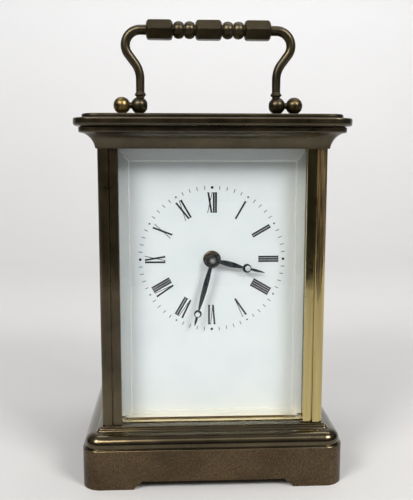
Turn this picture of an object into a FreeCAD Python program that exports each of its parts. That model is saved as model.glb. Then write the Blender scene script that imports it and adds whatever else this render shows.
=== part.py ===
"""Carriage clock: brass case with glazed sides, carrying handle, dial, hands and an eight-day lever movement.

The frame has +Z up and the front towards -Y. The origin is on the table, below the centre of the case.
All sizes are millimetres, and the driving ones are in the sheet named Sizes.
"""
import FreeCAD, Part
import math
import os
import Sketcher
from FreeCAD import Placement, Rotation, Vector

SIZES = {
    # case
    "cornice_half_width": 44.1,
    "cornice_half_depth": 38.8,
    "cornice_corner": 7.0,
    "cornice_bottom": 111.0,
    "cornice_top": 120.5,
    "top_plate_top": 121.85,
    "top_plate_inset": 2.6,
    "top_plate_corner": 5.6,
    "base_half_width": 43.25,
    "base_half_depth": 37.95,
    "base_corner": 6.0,
    "base_floor": 19.5,
    "foot_length": 16.9,
    "foot_height": 2.7,
    "pillar_half_width": 36.9,
    "pillar_half_depth": 31.6,
    "pillar_side": 6.5,
    "glass_thick": 2.1,
    "glass_setback": 2.05,
    "glass_tongue": 1.7,
    "glass_socket": 1.1,
    "bevel_width": 5.0,
    "bevel_drop": 0.9,
    "fit_gap": 0.05,
    # rear door
    "door_half_width": 30.2,
    "door_thick": 3.0,
    "door_bar": 4.5,
    "door_gap": 0.4,
    "hinge_pin_radius": 0.6,
    # handle
    "pivot_height": 126.5,
    "arm_x": 24.7,
    "post_x": 30.95,
    "ball_radius": 3.03,
    "handle_pin_radius": 1.1,
    "grip_height": 152.7,
    "grip_half_length": 22.1,
    "barrel_length": 9.4,
    "bead_length": 3.45,
    "grip_across_flats": 6.6,
    "arm_radius_low": 1.5,
    "arm_radius_high": 1.75,
    # dial and hands
    "dial_front": 23.2,
    "dial_thick": 0.9,
    "dial_centre": 74.35,
    "hour_hand_reach": 18.2,
    "minute_hand_reach": 23.0,
    # movement
    "plate_half_width": 26.0,
    "plate_top": 102.5,
    "plate_bottom": 19.3,
    "plate_thick": 1.8,
    "front_plate_back": 14.0,
    "back_plate_front": 12.0,
    "platform_half_width": 13.0,
    "platform_thick": 1.5,
    "shaft_play": 0.05,
}

HOUR_ANGLE = 104.0       # degrees clockwise from twelve
MINUTE_ANGLE = 195.0
PRESSURE_ANGLE = math.radians(20)
TOOTH_SHARE = 0.78       # tooth width as a share of half the pitch, the rest is backlash

# wheel and pinion tooth counts and modules of the going train and the motion work
BARREL_TEETH, CENTRE_LEAVES, BARREL_MODULE = 96, 12, 0.45
CENTRE_TEETH, THIRD_LEAVES, CENTRE_MODULE = 80, 10, 0.35
THIRD_TEETH, CONTRATE_LEAVES, THIRD_MODULE = 75, 10, 0.30
CONTRATE_TEETH, ESCAPE_LEAVES, CONTRATE_RADIUS = 70, 7, 10.0
CANNON_LEAVES, MINUTE_TEETH, CANNON_MODULE = 12, 36, 0.375
MINUTE_LEAVES, HOUR_TEETH, HOUR_MODULE = 10, 40, 0.36
RATCHET_TEETH, ESCAPE_TEETH = 24, 15

X, Y, Z = Vector(1, 0, 0), Vector(0, 1, 0), Vector(0, 0, 1)
FACING = Rotation(X, 90)      # a local XY outline stands up facing the front, its thickness running forward
ALONG_X = Rotation(Y, 90)

doc = FreeCAD.newDocument("carriage_clock")
sheet = doc.addObject("Spreadsheet::Sheet", "Sizes")
for row, (alias, number) in enumerate(SIZES.items(), start=1):
    sheet.set(f"A{row}", alias)
    sheet.set(f"B{row}", str(number))
    sheet.setAlias(f"B{row}", alias)
doc.recompute()

nodes = []


# ---------------------------------------------------------------- helpers

def size(alias):
    """Value of one driving dimension."""
    return float(sheet.get(alias))


def node(item, label):
    """Keep an object as a sub-part under its own name."""
    item.Label = label
    nodes.append(item)
    return item


def feature(label, shape, place=None):
    """Sub-part whose shape is worked out with Part's functions."""
    item = doc.addObject("Part::Feature", label)
    item.Shape = shape
    if place:
        item.Placement = place
    return node(item, label)


def standing(x, y_back, z):
    """Placement of a local XY shape that faces the front, with its back face at y_back."""
    return Placement(Vector(x, y_back, z), FACING)


def block(x0, x1, y0, y1, z0, z1):
    """Box between two corners."""
    return Part.makeBox(x1 - x0, y1 - y0, z1 - z0, Vector(x0, y0, z0))


def rod(radius, start, end):
    """Cylinder between two points."""
    axis = Vector(end) - Vector(start)
    return Part.makeCylinder(radius, axis.Length, Vector(start), axis)


def union(shapes):
    """All shapes fused into one."""
    solids = [solid for shape in shapes for solid in shape.Solids]
    return solids[0].multiFuse(solids[1:]) if len(solids) > 1 else solids[0]


def group(shapes):
    """Separate solids kept together under one name."""
    return Part.makeCompound([solid for shape in shapes for solid in shape.Solids])


def rounded_wire(corners):
    """Closed wire through corners (x, y, radius), each one rounded by its radius."""
    points = [Vector(x, y, 0) for x, y, _ in corners]
    joints = []
    for i, (_, _, radius) in enumerate(corners):
        here = points[i]
        back = (points[i - 1] - here).normalize()
        ahead = (points[(i + 1) % len(points)] - here).normalize()
        if radius == 0:
            joints.append((here, None, here))
            continue
        half = back.getAngle(ahead) / 2
        reach = radius / math.tan(half)
        inward = (back + ahead).normalize()
        middle = here + inward * (radius / math.sin(half) - radius)
        joints.append((here + back * reach, middle, here + ahead * reach))
    edges = []
    for i, (start, middle, end) in enumerate(joints):
        if middle:
            edges.append(Part.Arc(start, middle, end).toShape())
        following = joints[(i + 1) % len(joints)][0]
        if (following - end).Length > 1e-6:
            edges.append(Part.LineSegment(end, following).toShape())
    return edges


def slab(corners, thickness):
    """Flat plate from z = 0 up, with an outline of rounded corners."""
    face = Part.Face(Part.Wire(rounded_wire(corners)))
    return face.extrude(Vector(0, 0, thickness))


def turned(profile, start=Vector(0, 0, 0)):
    """Solid of revolution about Z; profile is a list of edges in XZ from the axis back to the axis."""
    wire = Part.Wire(Part.sortEdges(profile)[0])
    ends = [v.Point for v in wire.OrderedVertexes]
    closed = Part.Wire(wire.Edges + [Part.LineSegment(ends[-1], ends[0]).toShape()])
    shape = Part.Face(closed).revolve(Vector(0, 0, 0), Z, 360)
    shape.translate(start)
    return shape


def polyline(points):
    """Straight edges through (radius, height) points in XZ."""
    spots = [Vector(r, 0, z) for r, z in points]
    return [Part.LineSegment(a, b).toShape() for a, b in zip(spots, spots[1:])]


def arc(start, middle, end):
    """Arc edge through three (radius, height) points in XZ."""
    spots = [Vector(r, 0, z) for r, z in (start, middle, end)]
    return Part.Arc(*spots).toShape()


def stepped_shaft(y_start, steps, x=0.0, z=0.0):
    """Turned shaft along +Y: steps are (radius, length) from y_start towards the back."""
    shapes = []
    y = y_start
    for radius, length in steps:
        shapes.append(rod(radius, (x, y, z), (x, y + length, z)))
        y += length
    return union(shapes)


# ---------------------------------------------------------------- parametric bodies

def new_body(label):
    """PartDesign body with its own name."""
    body = doc.addObject("PartDesign::Body", label)
    return node(body, label)


def sketch_on(body, role, name):
    """Sketch on one of the body's own origin planes."""
    plane = next(f for f in body.Origin.OriginFeatures if f.Role == role)
    sketch = body.newObject("Sketcher::SketchObject", name)
    sketch.AttachmentSupport = [(plane, "")]
    sketch.MapMode = "FlatFace"
    return sketch


def add_rectangle(sketch, half_width, half_height):
    """Centred rectangle whose half sizes follow two sheet formulas."""
    spots = [Vector(-5, -5, 0), Vector(5, -5, 0), Vector(5, 5, 0), Vector(-5, 5, 0)]
    first = sketch.GeometryCount
    for a, b in zip(spots, spots[1:] + spots[:1]):
        sketch.addGeometry(Part.LineSegment(a, b))
    for i in range(4):
        sketch.addConstraint(Sketcher.Constraint("Coincident", first + i, 2, first + (i + 1) % 4, 1))
    for i in (0, 2):
        sketch.addConstraint(Sketcher.Constraint("Horizontal", first + i))
        sketch.addConstraint(Sketcher.Constraint("Vertical", first + i + 1))
    sketch.addConstraint(Sketcher.Constraint("Symmetric", first, 1, first + 1, 2, -1, 1))
    across = sketch.addConstraint(Sketcher.Constraint("DistanceX", first, 1, first, 2, 10.0))
    upward = sketch.addConstraint(Sketcher.Constraint("DistanceY", first + 1, 1, first + 1, 2, 10.0))
    sketch.setExpression(f"Constraints[{across}]", f"2 * ({half_width})")
    sketch.setExpression(f"Constraints[{upward}]", f"2 * ({half_height})")


def add_circle(sketch, radius, x=0.0, y=0.0):
    """Circle with a radius from a sheet formula, centred at (x, y)."""
    index = sketch.addGeometry(Part.Circle(Vector(x, y, 0), Z, 1.0))
    bound = sketch.addConstraint(Sketcher.Constraint("Radius", index, 1.0))
    sketch.setExpression(f"Constraints[{bound}]", str(radius))


def pad(body, sketch, length, name="Pad"):
    """Pad of a sketch along its normal."""
    step = body.newObject("PartDesign::Pad", name)
    step.Profile = sketch
    step.setExpression("Length", length)
    doc.recompute()
    return step


def pocket(body, sketch, name, length=None):
    """Pocket through a whole body, or to a depth; it must remove material."""
    before = body.Shape.Volume
    step = body.newObject("PartDesign::Pocket", name)
    step.Profile = sketch
    if length:
        step.setExpression("Length", length)
    else:
        step.Type = 1
        step.Midplane = True
    doc.recompute()
    if step.Shape.Volume > before - 1e-6:
        step.Reversed = True
        doc.recompute()
    if step.Shape.Volume > before - 1e-6:
        raise RuntimeError(f"{body.Label}: {name} removes nothing")
    return step


def edges_where(shape, test):
    """Names of the edges whose bounding box passes a test."""
    return [f"Edge{i}" for i, edge in enumerate(shape.Edges, 1) if test(edge.BoundBox)]


def place_body(body, x=None, y=None, z=None):
    """Bind a body's position to sheet formulas."""
    for axis, formula in (("x", x), ("y", y), ("z", z)):
        if formula:
            body.setExpression(f"Placement.Base.{axis}", formula)


# ---------------------------------------------------------------- mouldings

def prism_across(profile, half, along, axis):
    """Solid with a mirrored moulding profile, run along X or Y; profile edges are (inset, height) curves."""
    def edge_at(curve, sign):
        spots = [(sign * (half - inset), height) for inset, height in curve]
        points = [Vector(0, s, h) if axis == "X" else Vector(s, 0, h) for s, h in spots]
        return Part.Arc(*points).toShape() if len(points) == 3 else Part.LineSegment(*points).toShape()

    right = [edge_at(curve, 1) for curve in profile]
    left = [edge_at(curve, -1) for curve in profile]
    (low_inset, low), (top_inset, top) = profile[0][0], profile[-1][-1]
    caps = []
    for inset, height in ((low_inset, low), (top_inset, top)):
        a, b = half - inset, -(half - inset)
        ends = [Vector(0, s, height) if axis == "X" else Vector(s, 0, height) for s in (a, b)]
        caps.append(Part.LineSegment(*ends).toShape())
    wire = Part.Wire(Part.sortEdges(right + left + caps)[0])
    run = Vector(2 * along, 0, 0) if axis == "X" else Vector(0, 2 * along, 0)
    shape = Part.Face(wire).extrude(run)
    shape.translate(run * -0.5)
    return shape


def moulded_block(profile, half_x, half_y, corner):
    """Solid block with a moulding profile all round and rounded corners in plan.

    profile is a chain of lines (2 points) and arcs (3 points) of (inset, height), from the bottom up.
    """
    low, top = profile[0][0][1], profile[-1][-1][1]
    inner_x, inner_y = half_x - corner, half_y - corner
    mitred = prism_across(profile, half_y, half_x, "X").common(prism_across(profile, half_x, half_y, "Y"))
    waist = mitred.common(block(-inner_x, inner_x, -half_y, half_y, low, top))
    flank = mitred.common(block(-half_x, half_x, -inner_y, inner_y, low, top))
    quarter = corner_quarter(profile, corner)
    shape = waist.fuse(flank)
    for turn, (sx, sy) in enumerate(((1, 1), (-1, 1), (-1, -1), (1, -1))):
        spot = quarter.copy()
        spot.rotate(Vector(0, 0, 0), Z, 90 * turn)
        spot.translate(Vector(sx * inner_x, sy * inner_y, 0))
        shape = shape.fuse(spot)
    return shape.removeSplitter()


def corner_quarter(profile, corner):
    """Quarter turn of a moulding for one corner, stopped at the corner's centre."""
    curves = [[(corner - inset, height) for inset, height in curve] for curve in profile]
    (first_x, low), (last_x, top) = curves[0][0], curves[-1][-1]
    inward = min(x for curve in curves for x, _ in curve) - 1
    edges = []
    for curve in curves:
        edges += [arc(*curve)] if len(curve) == 3 else polyline(curve)
    edges += polyline([(last_x, top), (inward, top), (inward, low), (first_x, low)])
    section = Part.Face(Part.Wire(Part.sortEdges(edges)[0]))
    outward = Part.Face(Part.Wire(polyline([(0, low), (corner, low), (corner, top), (0, top), (0, low)])))
    return section.common(outward).revolve(Vector(0, 0, 0), Z, 90)


# ---------------------------------------------------------------- gears

def gear_face(teeth, module, phase, tip=0.9, root=1.2):
    """Outline of a spur gear in local XY, with a tooth centred at the angle phase."""
    pitch_radius = module * teeth / 2
    base_radius = pitch_radius * math.cos(PRESSURE_ANGLE)
    tip_radius = pitch_radius + tip * module
    root_radius = pitch_radius - root * module

    def involute(radius):
        ratio = max(radius / base_radius, 1.0)
        return math.sqrt(ratio * ratio - 1) - math.acos(1 / ratio)

    half_pitch_tooth = TOOTH_SHARE * math.pi / (2 * teeth)

    def half_angle(radius):
        return half_pitch_tooth + involute(pitch_radius) - involute(radius)

    flank = [(root_radius, half_angle(max(root_radius, base_radius)))]
    flank += [(pitch_radius, half_pitch_tooth), (tip_radius, max(half_angle(tip_radius), 0.02 / tip_radius))]
    points = []
    for k in range(teeth):
        middle = phase + 2 * math.pi * k / teeth
        for radius, half in flank:
            points.append(polar(radius, middle - half))
        for radius, half in reversed(flank):
            points.append(polar(radius, middle + half))
    return Part.Face(Part.makePolygon(points + points[:1]))


def polar(radius, angle):
    """Point at an angle in local XY."""
    return Vector(radius * math.cos(angle), radius * math.sin(angle), 0)


def gear(teeth, module, width, phase, bore):
    """Spur gear from z = 0 up, with a round bore."""
    shape = gear_face(teeth, module, phase).extrude(Vector(0, 0, width))
    return shape.cut(Part.makeCylinder(bore, width)) if bore else shape


def crossings(inner, outer, arms, arm_width, height):
    """Windows between the arms of a wheel, to be cut from it."""
    ring = Part.makeCylinder(outer, height).cut(Part.makeCylinder(inner, height))
    bars = []
    for k in range(arms):
        bar = Part.makeBox(outer, arm_width, height, Vector(0, -arm_width / 2, 0))
        bar.rotate(Vector(0, 0, 0), Z, 360 * k / arms)
        bars.append(bar)
    return ring.cut(union(bars))


def crossed_wheel(teeth, module, width, phase, bore, arms=5):
    """Spur wheel crossed out into arms."""
    root_radius = module * (teeth / 2 - 1.2)
    shape = gear(teeth, module, width, phase, bore)
    hub, rim = bore + 1.6, root_radius - 1.3
    return shape.cut(crossings(hub, rim, arms, 1.2, width))


def meshing_point(first, first_distance, second, second_distance, side):
    """Point at two distances from two (x, z) points; side is -1 for the left one."""
    (x0, z0), (x1, z1) = first, second
    apart = math.hypot(x1 - x0, z1 - z0)
    along = (first_distance ** 2 - second_distance ** 2 + apart ** 2) / (2 * apart)
    off = math.sqrt(first_distance ** 2 - along ** 2) * side
    ux, uz = (x1 - x0) / apart, (z1 - z0) / apart
    return x0 + along * ux + off * uz, z0 + along * uz - off * ux


def direction(start, end):
    """Angle from one (x, z) point to another, as seen from the front."""
    return math.atan2(end[1] - start[1], end[0] - start[0])


def gap_phase(teeth, toward):
    """Phase that puts a gap between two teeth at an angle."""
    return toward + math.pi / teeth


# axis places as (x, z)
CENTRE = (0.0, size("dial_centre"))
BARREL = (0.0, CENTRE[1] - BARREL_MODULE * (BARREL_TEETH + CENTRE_LEAVES) / 2)
CONTRATE = (0.0, CENTRE[1] + 15.7)
THIRD = meshing_point(CENTRE, CENTRE_MODULE * (CENTRE_TEETH + THIRD_LEAVES) / 2,
                      CONTRATE, THIRD_MODULE * (THIRD_TEETH + CONTRATE_LEAVES) / 2, -1)
MINUTE_ANGLE_OUT = math.radians(-50)
MINUTE_DISTANCE = CANNON_MODULE * (CANNON_LEAVES + MINUTE_TEETH) / 2
MINUTE = (CENTRE[0] + MINUTE_DISTANCE * math.cos(MINUTE_ANGLE_OUT),
          CENTRE[1] + MINUTE_DISTANCE * math.sin(MINUTE_ANGLE_OUT))
CLICK = (-9.0, BARREL[1] + 8.4)
CLICK_TURN = -18.0       # degrees, the click's rest angle about its screw

# places along Y of the plates and wheels
FRONT_OUT = -(size("front_plate_back") + size("plate_thick"))
FRONT_IN = -size("front_plate_back")
BACK_IN = size("back_plate_front")
BACK_OUT = size("back_plate_front") + size("plate_thick")
CONTRATE_TIP = -3.55
ESCAPE_Y = -2.85
PALLET_Y = ESCAPE_Y + 4.2
BALANCE_Y = PALLET_Y + 5.2
PLATFORM_TOP = size("plate_top") + size("platform_thick")
PLATE_PILLARS = [(-22.5, 25.0), (22.5, 25.0), (-22.5, 97.0), (22.5, 97.0)]
DIAL_FEET = [(-20.0, 36.0), (20.0, 36.0), (-13.0, 98.5), (13.0, 98.5)]
PIVOT_RADIUS = 0.5
ARBOR_RADIUS = 0.8


# ---------------------------------------------------------------- case

def base_moulding():
    """Cast base: bracket feet, a moulded top and a hollow inside, with sockets for glasses and door pin."""
    half_x, half_y = size("base_half_width"), size("base_half_depth")
    floor = size("base_floor")
    profile = [
        [(0, 0), (0, 12.95)],
        [(0, 12.95), (0.12, 13.32), (0.45, 13.45)],
        [(0.45, 13.45), (0.8, 13.45)],
        [(0.8, 13.45), (1.45, 16.6), (3.9, 17.9)],
        [(3.9, 17.9), (4.6, 18.12), (4.9, 18.6)],
        [(4.9, 18.6), (5.05, 18.96), (5.4, 19.1)],
        [(5.4, 19.1), (5.75, 19.1)],
        [(5.75, 19.1), (5.75, floor)],
    ]
    shape = moulded_block(profile, half_x, half_y, size("base_corner"))
    wall, flange_low = 4.0, 16.5
    cuts = [block(wall - half_x, half_x - wall, wall - half_y, half_y - wall, -1, flange_low)]
    cuts.append(block(-29, 29, -25, 25, flange_low - 1, floor + 1))
    cuts += [foot_gap(half_x, half_y, "X"), foot_gap(half_y, half_x, "Y")]
    cuts += glass_sockets(floor - size("glass_socket"), floor + 1)
    cuts += [rod(1.25, (x, y, flange_low - 1), (x, y, floor + 1)) for x, y in pillar_centres()]
    cuts.append(hinge_socket(floor - 2.6, floor + 1))
    feature("base_moulding", shape.cut(union(cuts)))


def foot_gap(half_run, half_across, axis):
    """Low arch between two feet, with an ogee at each end, cut right across the base."""
    height = size("foot_height")
    foot = half_run - size("foot_length")
    slope = 2.7
    inner = foot - slope
    middle = (foot + inner) / 2
    right = [Part.Arc(Vector(foot, 0, 0), Vector(foot - 0.55, 0, 0.8), Vector(middle, 0, height / 2)),
             Part.Arc(Vector(middle, 0, height / 2), Vector(inner + 0.55, 0, height - 0.8),
                      Vector(inner, 0, height))]
    left = [Part.Arc(Vector(-foot, 0, 0), Vector(0.55 - foot, 0, 0.8), Vector(-middle, 0, height / 2)),
            Part.Arc(Vector(-middle, 0, height / 2), Vector(-inner - 0.55, 0, height - 0.8),
                     Vector(-inner, 0, height))]
    edges = [curve.toShape() for curve in right + left]
    edges.append(Part.LineSegment(Vector(-inner, 0, height), Vector(inner, 0, height)).toShape())
    corners = [Vector(foot, 0, 0), Vector(foot, 0, -1), Vector(-foot, 0, -1), Vector(-foot, 0, 0)]
    edges += [Part.LineSegment(a, b).toShape() for a, b in zip(corners, corners[1:])]
    arch = Part.Face(Part.Wire(Part.sortEdges(edges)[0])).extrude(Vector(0, 2 * half_across + 2, 0))
    arch.translate(Vector(0, -half_across - 1, 0))
    if axis == "Y":
        arch.rotate(Vector(0, 0, 0), Z, 90)
    return arch


def pillar_centres():
    """Centres of the four pillars as (x, y)."""
    x = size("pillar_half_width") - size("pillar_side") / 2
    y = size("pillar_half_depth") - size("pillar_side") / 2
    return [(sx * x, sy * y) for sx in (-1, 1) for sy in (-1, 1)]


def side_glass_reach():
    """Half length along Y of a side glass."""
    return size("pillar_half_depth") - size("pillar_side") + size("glass_tongue")


def front_glass_reach():
    """Half width of the front glass."""
    return size("pillar_half_width") - size("pillar_side") + size("glass_tongue")


def glass_sockets(low, high):
    """Slots that take the ends of the front glass and of the side glasses."""
    gap, thick, setback = size("fit_gap"), size("glass_thick"), size("glass_setback")
    front = -size("pillar_half_depth") + setback
    reach = front_glass_reach() + gap
    slots = [block(-reach, reach, front - gap, front + thick + gap, low, high)]
    side, reach = size("pillar_half_width") - setback, side_glass_reach() + gap
    for sign in (-1, 1):
        near, far = sorted((sign * (side + gap), sign * (side - thick - gap)))
        slots.append(block(near, far, -reach, reach, low, high))
    return slots


def hinge_place():
    """Axis of the rear door as (x, y)."""
    half = size("door_thick") / 2
    return size("door_half_width") - half, size("pillar_half_depth") - half


def hinge_socket(low, high):
    """Hole for a door pin."""
    x, y = hinge_place()
    return rod(size("hinge_pin_radius") + size("fit_gap"), (x, y, low), (x, y, high))


def base_floor_plate():
    """Floor of the case, seated in the base from below."""
    body = new_body("base_floor_plate")
    lower = sketch_on(body, "XY_Plane", "LowerOutline")
    add_rectangle(lower, "31.0", "27.0")
    pad(body, lower, "1.5", "LowerPad")
    upper = sketch_on(body, "XY_Plane", "UpperOutline")
    add_rectangle(upper, "29.0 - 2 * Sizes.fit_gap", "25.0 - 2 * Sizes.fit_gap")
    pad(body, upper, "1.5 + Sizes.plate_bottom - 16.5", "UpperPad")
    place_body(body, z="15.0")


def pillar(label, sx, sy):
    """Corner pillar: a square post with a rounded outer corner, two grooves and glass slots."""
    side, low = size("pillar_side"), size("base_floor")
    height = size("cornice_bottom") - low
    strip, groove, sink = 2.65, 0.35, 0.35
    near = strip + groove
    outline = [
        (0, sink, 0.15), (strip, sink, 0.15), (strip, 0.95, 0), (near, 0.95, 0), (near, 0, 0.4),
        (side, 0, 1.3),
        (side, side - near, 0.4), (side - 0.95, side - near, 0), (side - 0.95, side - strip, 0),
        (side - sink, side - strip, 0.15), (side - sink, side, 0.15), (0, side, 0),
    ]
    shape = slab(outline, height)
    gap, thick, setback = size("fit_gap"), size("glass_thick"), size("glass_setback")
    tongue = size("glass_tongue") + gap
    side_slot = (side - setback - thick - gap, side - setback + gap)
    cuts = [block(*side_slot, side - tongue, side + 1, -1, height + 1)]
    if sy < 0:
        cuts.append(block(-1, tongue, setback - gap, setback + thick + gap, -1, height + 1))
    middle = side / 2
    for start, end in ((-1, 6.8), (height - 6.8, height + 1)):
        cuts.append(rod(1.25, (middle, middle, start), (middle, middle, end)))
    shape = shape.cut(union(cuts))
    inner_x = size("pillar_half_width") - side
    shape.translate(Vector(inner_x, -size("pillar_half_depth"), low))
    if sx < 0:
        shape = shape.mirror(Vector(0, 0, 0), X)
    if sy > 0:
        shape = shape.mirror(Vector(0, 0, 0), Y)
    feature(label, shape)


def cornice_moulding():
    """Cornice: cavetto, thin fillet, groove and broad band, open in the middle."""
    low, top = size("cornice_bottom"), size("cornice_top")
    half_x, half_y = size("cornice_half_width"), size("cornice_half_depth")
    profile = [
        [(6.9, low), (6.76, low + 0.14), (6.7, low + 0.4)],
        [(6.7, low + 0.4), (5.3, low + 3.2), (2.4, low + 4.95)],
        [(2.4, low + 4.95), (1.8, low + 5.05), (1.6, low + 5.4)],
        [(1.6, low + 5.4), (1.6, low + 6.3)],
        [(1.6, low + 6.3), (1.75, low + 6.6), (2.1, low + 6.7)],
        [(2.1, low + 6.7), (2.1, low + 6.95)],
        [(2.1, low + 6.95), (1.0, low + 6.95)],
        [(1.0, low + 6.95), (0.3, low + 7.2), (0, low + 7.8)],
        [(0, low + 7.8), (0, top - 0.5)],
        [(0, top - 0.5), (0.15, top - 0.15), (0.5, top)],
    ]
    shape = moulded_block(profile, half_x, half_y, size("cornice_corner"))
    cuts = [block(-29.5, 29.5, -24.5, 24.5, low - 1, top + 1)]
    cuts += glass_sockets(low - 1, low + size("glass_socket"))
    for x, y in pillar_centres():
        cuts.append(rod(1.25, (x, y, low - 1), (x, y, top + 1)))
        cuts.append(rod(2.3, (x, y, top - 2.6), (x, y, top + 1)))
    for sign in (-1, 1):
        cuts.append(rod(0.95, (sign * size("post_x"), 0, low + 4), (sign * size("post_x"), 0, top + 1)))
    cuts.append(hinge_socket(low - 1, low + 2.6))
    feature("cornice_moulding", shape.cut(union(cuts)))


def top_plate():
    """Thin plate on the cornice with the window for the top glass."""
    body = new_body("top_plate")
    outline = sketch_on(body, "XY_Plane", "Outline")
    add_rectangle(outline, "Sizes.cornice_half_width - Sizes.top_plate_inset",
                  "Sizes.cornice_half_depth - Sizes.top_plate_inset")
    plate = pad(body, outline, "Sizes.top_plate_top - Sizes.cornice_top", "Plate")
    rounding = body.newObject("PartDesign::Fillet", "Corners")
    rounding.Base = (plate, edges_where(plate.Shape, lambda box: box.ZLength > 0.5))
    rounding.Radius = size("top_plate_corner")
    doc.recompute()
    window = sketch_on(body, "XY_Plane", "Window")
    add_rectangle(window, "19.0", "20.5")
    opening = pocket(body, window, "WindowOpening")
    corners = body.newObject("PartDesign::Fillet", "WindowCorners")
    inner = edges_where(opening.Shape, lambda b: b.ZLength > 0.5 and abs(b.XMin) < 19.5 and abs(b.YMin) < 21)
    corners.Base = (opening, inner)
    corners.Radius = 3.0
    doc.recompute()
    holes = sketch_on(body, "XY_Plane", "PostHoles")
    for sign in (-1, 1):
        add_circle(holes, 0.95, sign * size("post_x"))
    drilled = pocket(body, holes, "PostDrilling")
    rim = body.newObject("PartDesign::Fillet", "TopEdge")
    high = drilled.Shape.BoundBox.ZMax
    rim.Base = (drilled, edges_where(drilled.Shape, lambda b: b.ZMin > high - 0.01 and b.DiagonalLength > 4))
    rim.Radius = 0.55
    doc.recompute()
    place_body(body, z="Sizes.cornice_top")


def glass(label, role, half_width, half_height, outer_face, place, width=None, thick="Sizes.glass_thick"):
    """Bevelled glass: a plate with its outer edges ground down all round."""
    body = new_body(label)
    outline = sketch_on(body, role, "Outline")
    add_rectangle(outline, half_width, half_height)
    plate = pad(body, outline, thick, "Plate")
    bevel = body.newObject("PartDesign::Chamfer", "Bevel")
    face_at, axis = outer_face
    box = plate.Shape.BoundBox
    level = getattr(box, axis + face_at)
    flat = edges_where(plate.Shape, lambda b: abs(getattr(b, axis + "Min") - level) < 1e-4
                       and getattr(b, axis + "Length") < 1e-4)
    bevel.Base = (plate, flat)
    bevel.ChamferType = "Two distances"
    drop, wide = "Sizes.bevel_drop", width or "Sizes.bevel_width"
    bevel.setExpression("Size", drop)
    bevel.setExpression("Size2", wide)
    doc.recompute()
    across = getattr(bevel.Shape.BoundBox, axis + "Length")
    flat = [face for face in bevel.Shape.Faces
            if abs(getattr(face.BoundBox, axis + "Min") - level) < 1e-4]
    largest = max(face.Area for face in flat)
    if largest < 0.3 * plate.Shape.Volume / across:
        raise RuntimeError(f"{label}: the bevel ran the wrong way")
    place_body(body, *place)


def glasses():
    """Front, side, top and door glasses."""
    tall = "(Sizes.cornice_bottom - Sizes.base_floor) / 2 + Sizes.glass_socket - Sizes.fit_gap"
    middle = "(Sizes.cornice_bottom + Sizes.base_floor) / 2"
    inner = "Sizes.pillar_half_width - Sizes.pillar_side"
    glass("front_glass", "XZ_Plane", f"{inner} + Sizes.glass_tongue", tall, ("Min", "Y"),
          (None, "Sizes.glass_setback + Sizes.glass_thick - Sizes.pillar_half_depth", middle))
    reach = "Sizes.pillar_half_depth - Sizes.pillar_side + Sizes.glass_tongue"
    outer = "Sizes.pillar_half_width - Sizes.glass_setback"
    glass("left_glass", "YZ_Plane", reach, tall, ("Min", "X"), (f"-({outer})", None, middle))
    glass("right_glass", "YZ_Plane", reach, tall, ("Max", "X"),
          (f"{outer} - Sizes.glass_thick", None, middle))
    glass("top_glass", "XY_Plane", "21.5", "23.0", ("Max", "Z"),
          (None, None, "Sizes.cornice_top - Sizes.glass_thick - 0.05"))
    glass("rear_door_glass", "XZ_Plane", "Sizes.door_half_width - Sizes.door_bar + 1.45",
          f"({tall}) - Sizes.door_bar - 0.1", ("Max", "Y"),
          (None, "Sizes.pillar_half_depth - 1.05", middle), "4.4", "1.85")


def rear_door():
    """Rear door frame on two pins, with a knob at its free edge."""
    body = new_body("rear_door_frame")
    half_width = "Sizes.door_half_width"
    half_height = "(Sizes.cornice_bottom - Sizes.base_floor) / 2 - Sizes.door_gap"
    outline = sketch_on(body, "XZ_Plane", "Outline")
    add_rectangle(outline, half_width, half_height)
    pad(body, outline, "Sizes.door_thick", "Frame")
    window = sketch_on(body, "XZ_Plane", "Window")
    add_rectangle(window, f"{half_width} - Sizes.door_bar", f"{half_height} - Sizes.door_bar")
    pocket(body, window, "WindowOpening")
    thick = size("door_thick")
    rebate = sketch_on(body, "XZ_Plane", "Rebate")
    rebate.AttachmentOffset = Placement(Vector(0, 0, thick), Rotation())
    add_rectangle(rebate, f"{half_width} - Sizes.door_bar + 1.5", f"{half_height} - Sizes.door_bar + 1.5")
    recessed = pocket(body, rebate, "GlassRebate", "2.0")
    edge_x = size("door_half_width")
    hinge_edge = body.newObject("PartDesign::Fillet", "HingeEdge")
    hinge_edges = edges_where(recessed.Shape, lambda b: b.ZLength > 60 and b.XMin > edge_x - 0.01)
    hinge_edge.Base = (recessed, hinge_edges)
    hinge_edge.Radius = thick / 2 - 0.01
    doc.recompute()
    pins = sketch_on(body, "XY_Plane", "PinHoles")
    x, y = hinge_place()
    middle = (size("cornice_bottom") + size("base_floor")) / 2
    place_body(body, y="Sizes.pillar_half_depth", z="(Sizes.cornice_bottom + Sizes.base_floor) / 2")
    add_circle(pins, "Sizes.hinge_pin_radius", x, y - size("pillar_half_depth"))
    pocket(body, pins, "PinDrilling")
    hole = sketch_on(body, "XZ_Plane", "KnobHole")
    knob_x = -28.4
    knob_radius = 0.7
    add_circle(hole, knob_radius, knob_x, 0)
    pocket(body, hole, "KnobDrilling")
    low, top = size("base_floor"), size("cornice_bottom")
    radius = size("hinge_pin_radius")
    feature("door_hinge_pins", group([rod(radius, (x, y, low - 2.5), (x, y, low + 8)),
                                      rod(radius, (x, y, top - 8), (x, y, top + 2.5))]))
    stem = polyline([(0, -3.0), (knob_radius, -3.0), (knob_radius, 1.4)])
    bulge = arc((knob_radius, 1.4), (2.3, 2.7), (0.9, 4.1))
    knob = turned(stem + [bulge] + polyline([(0.9, 4.1), (0, 4.1)]))
    at_door = Placement(Vector(knob_x, size("pillar_half_depth"), middle), Rotation(X, -90))
    feature("door_knob", knob, at_door)


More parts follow.
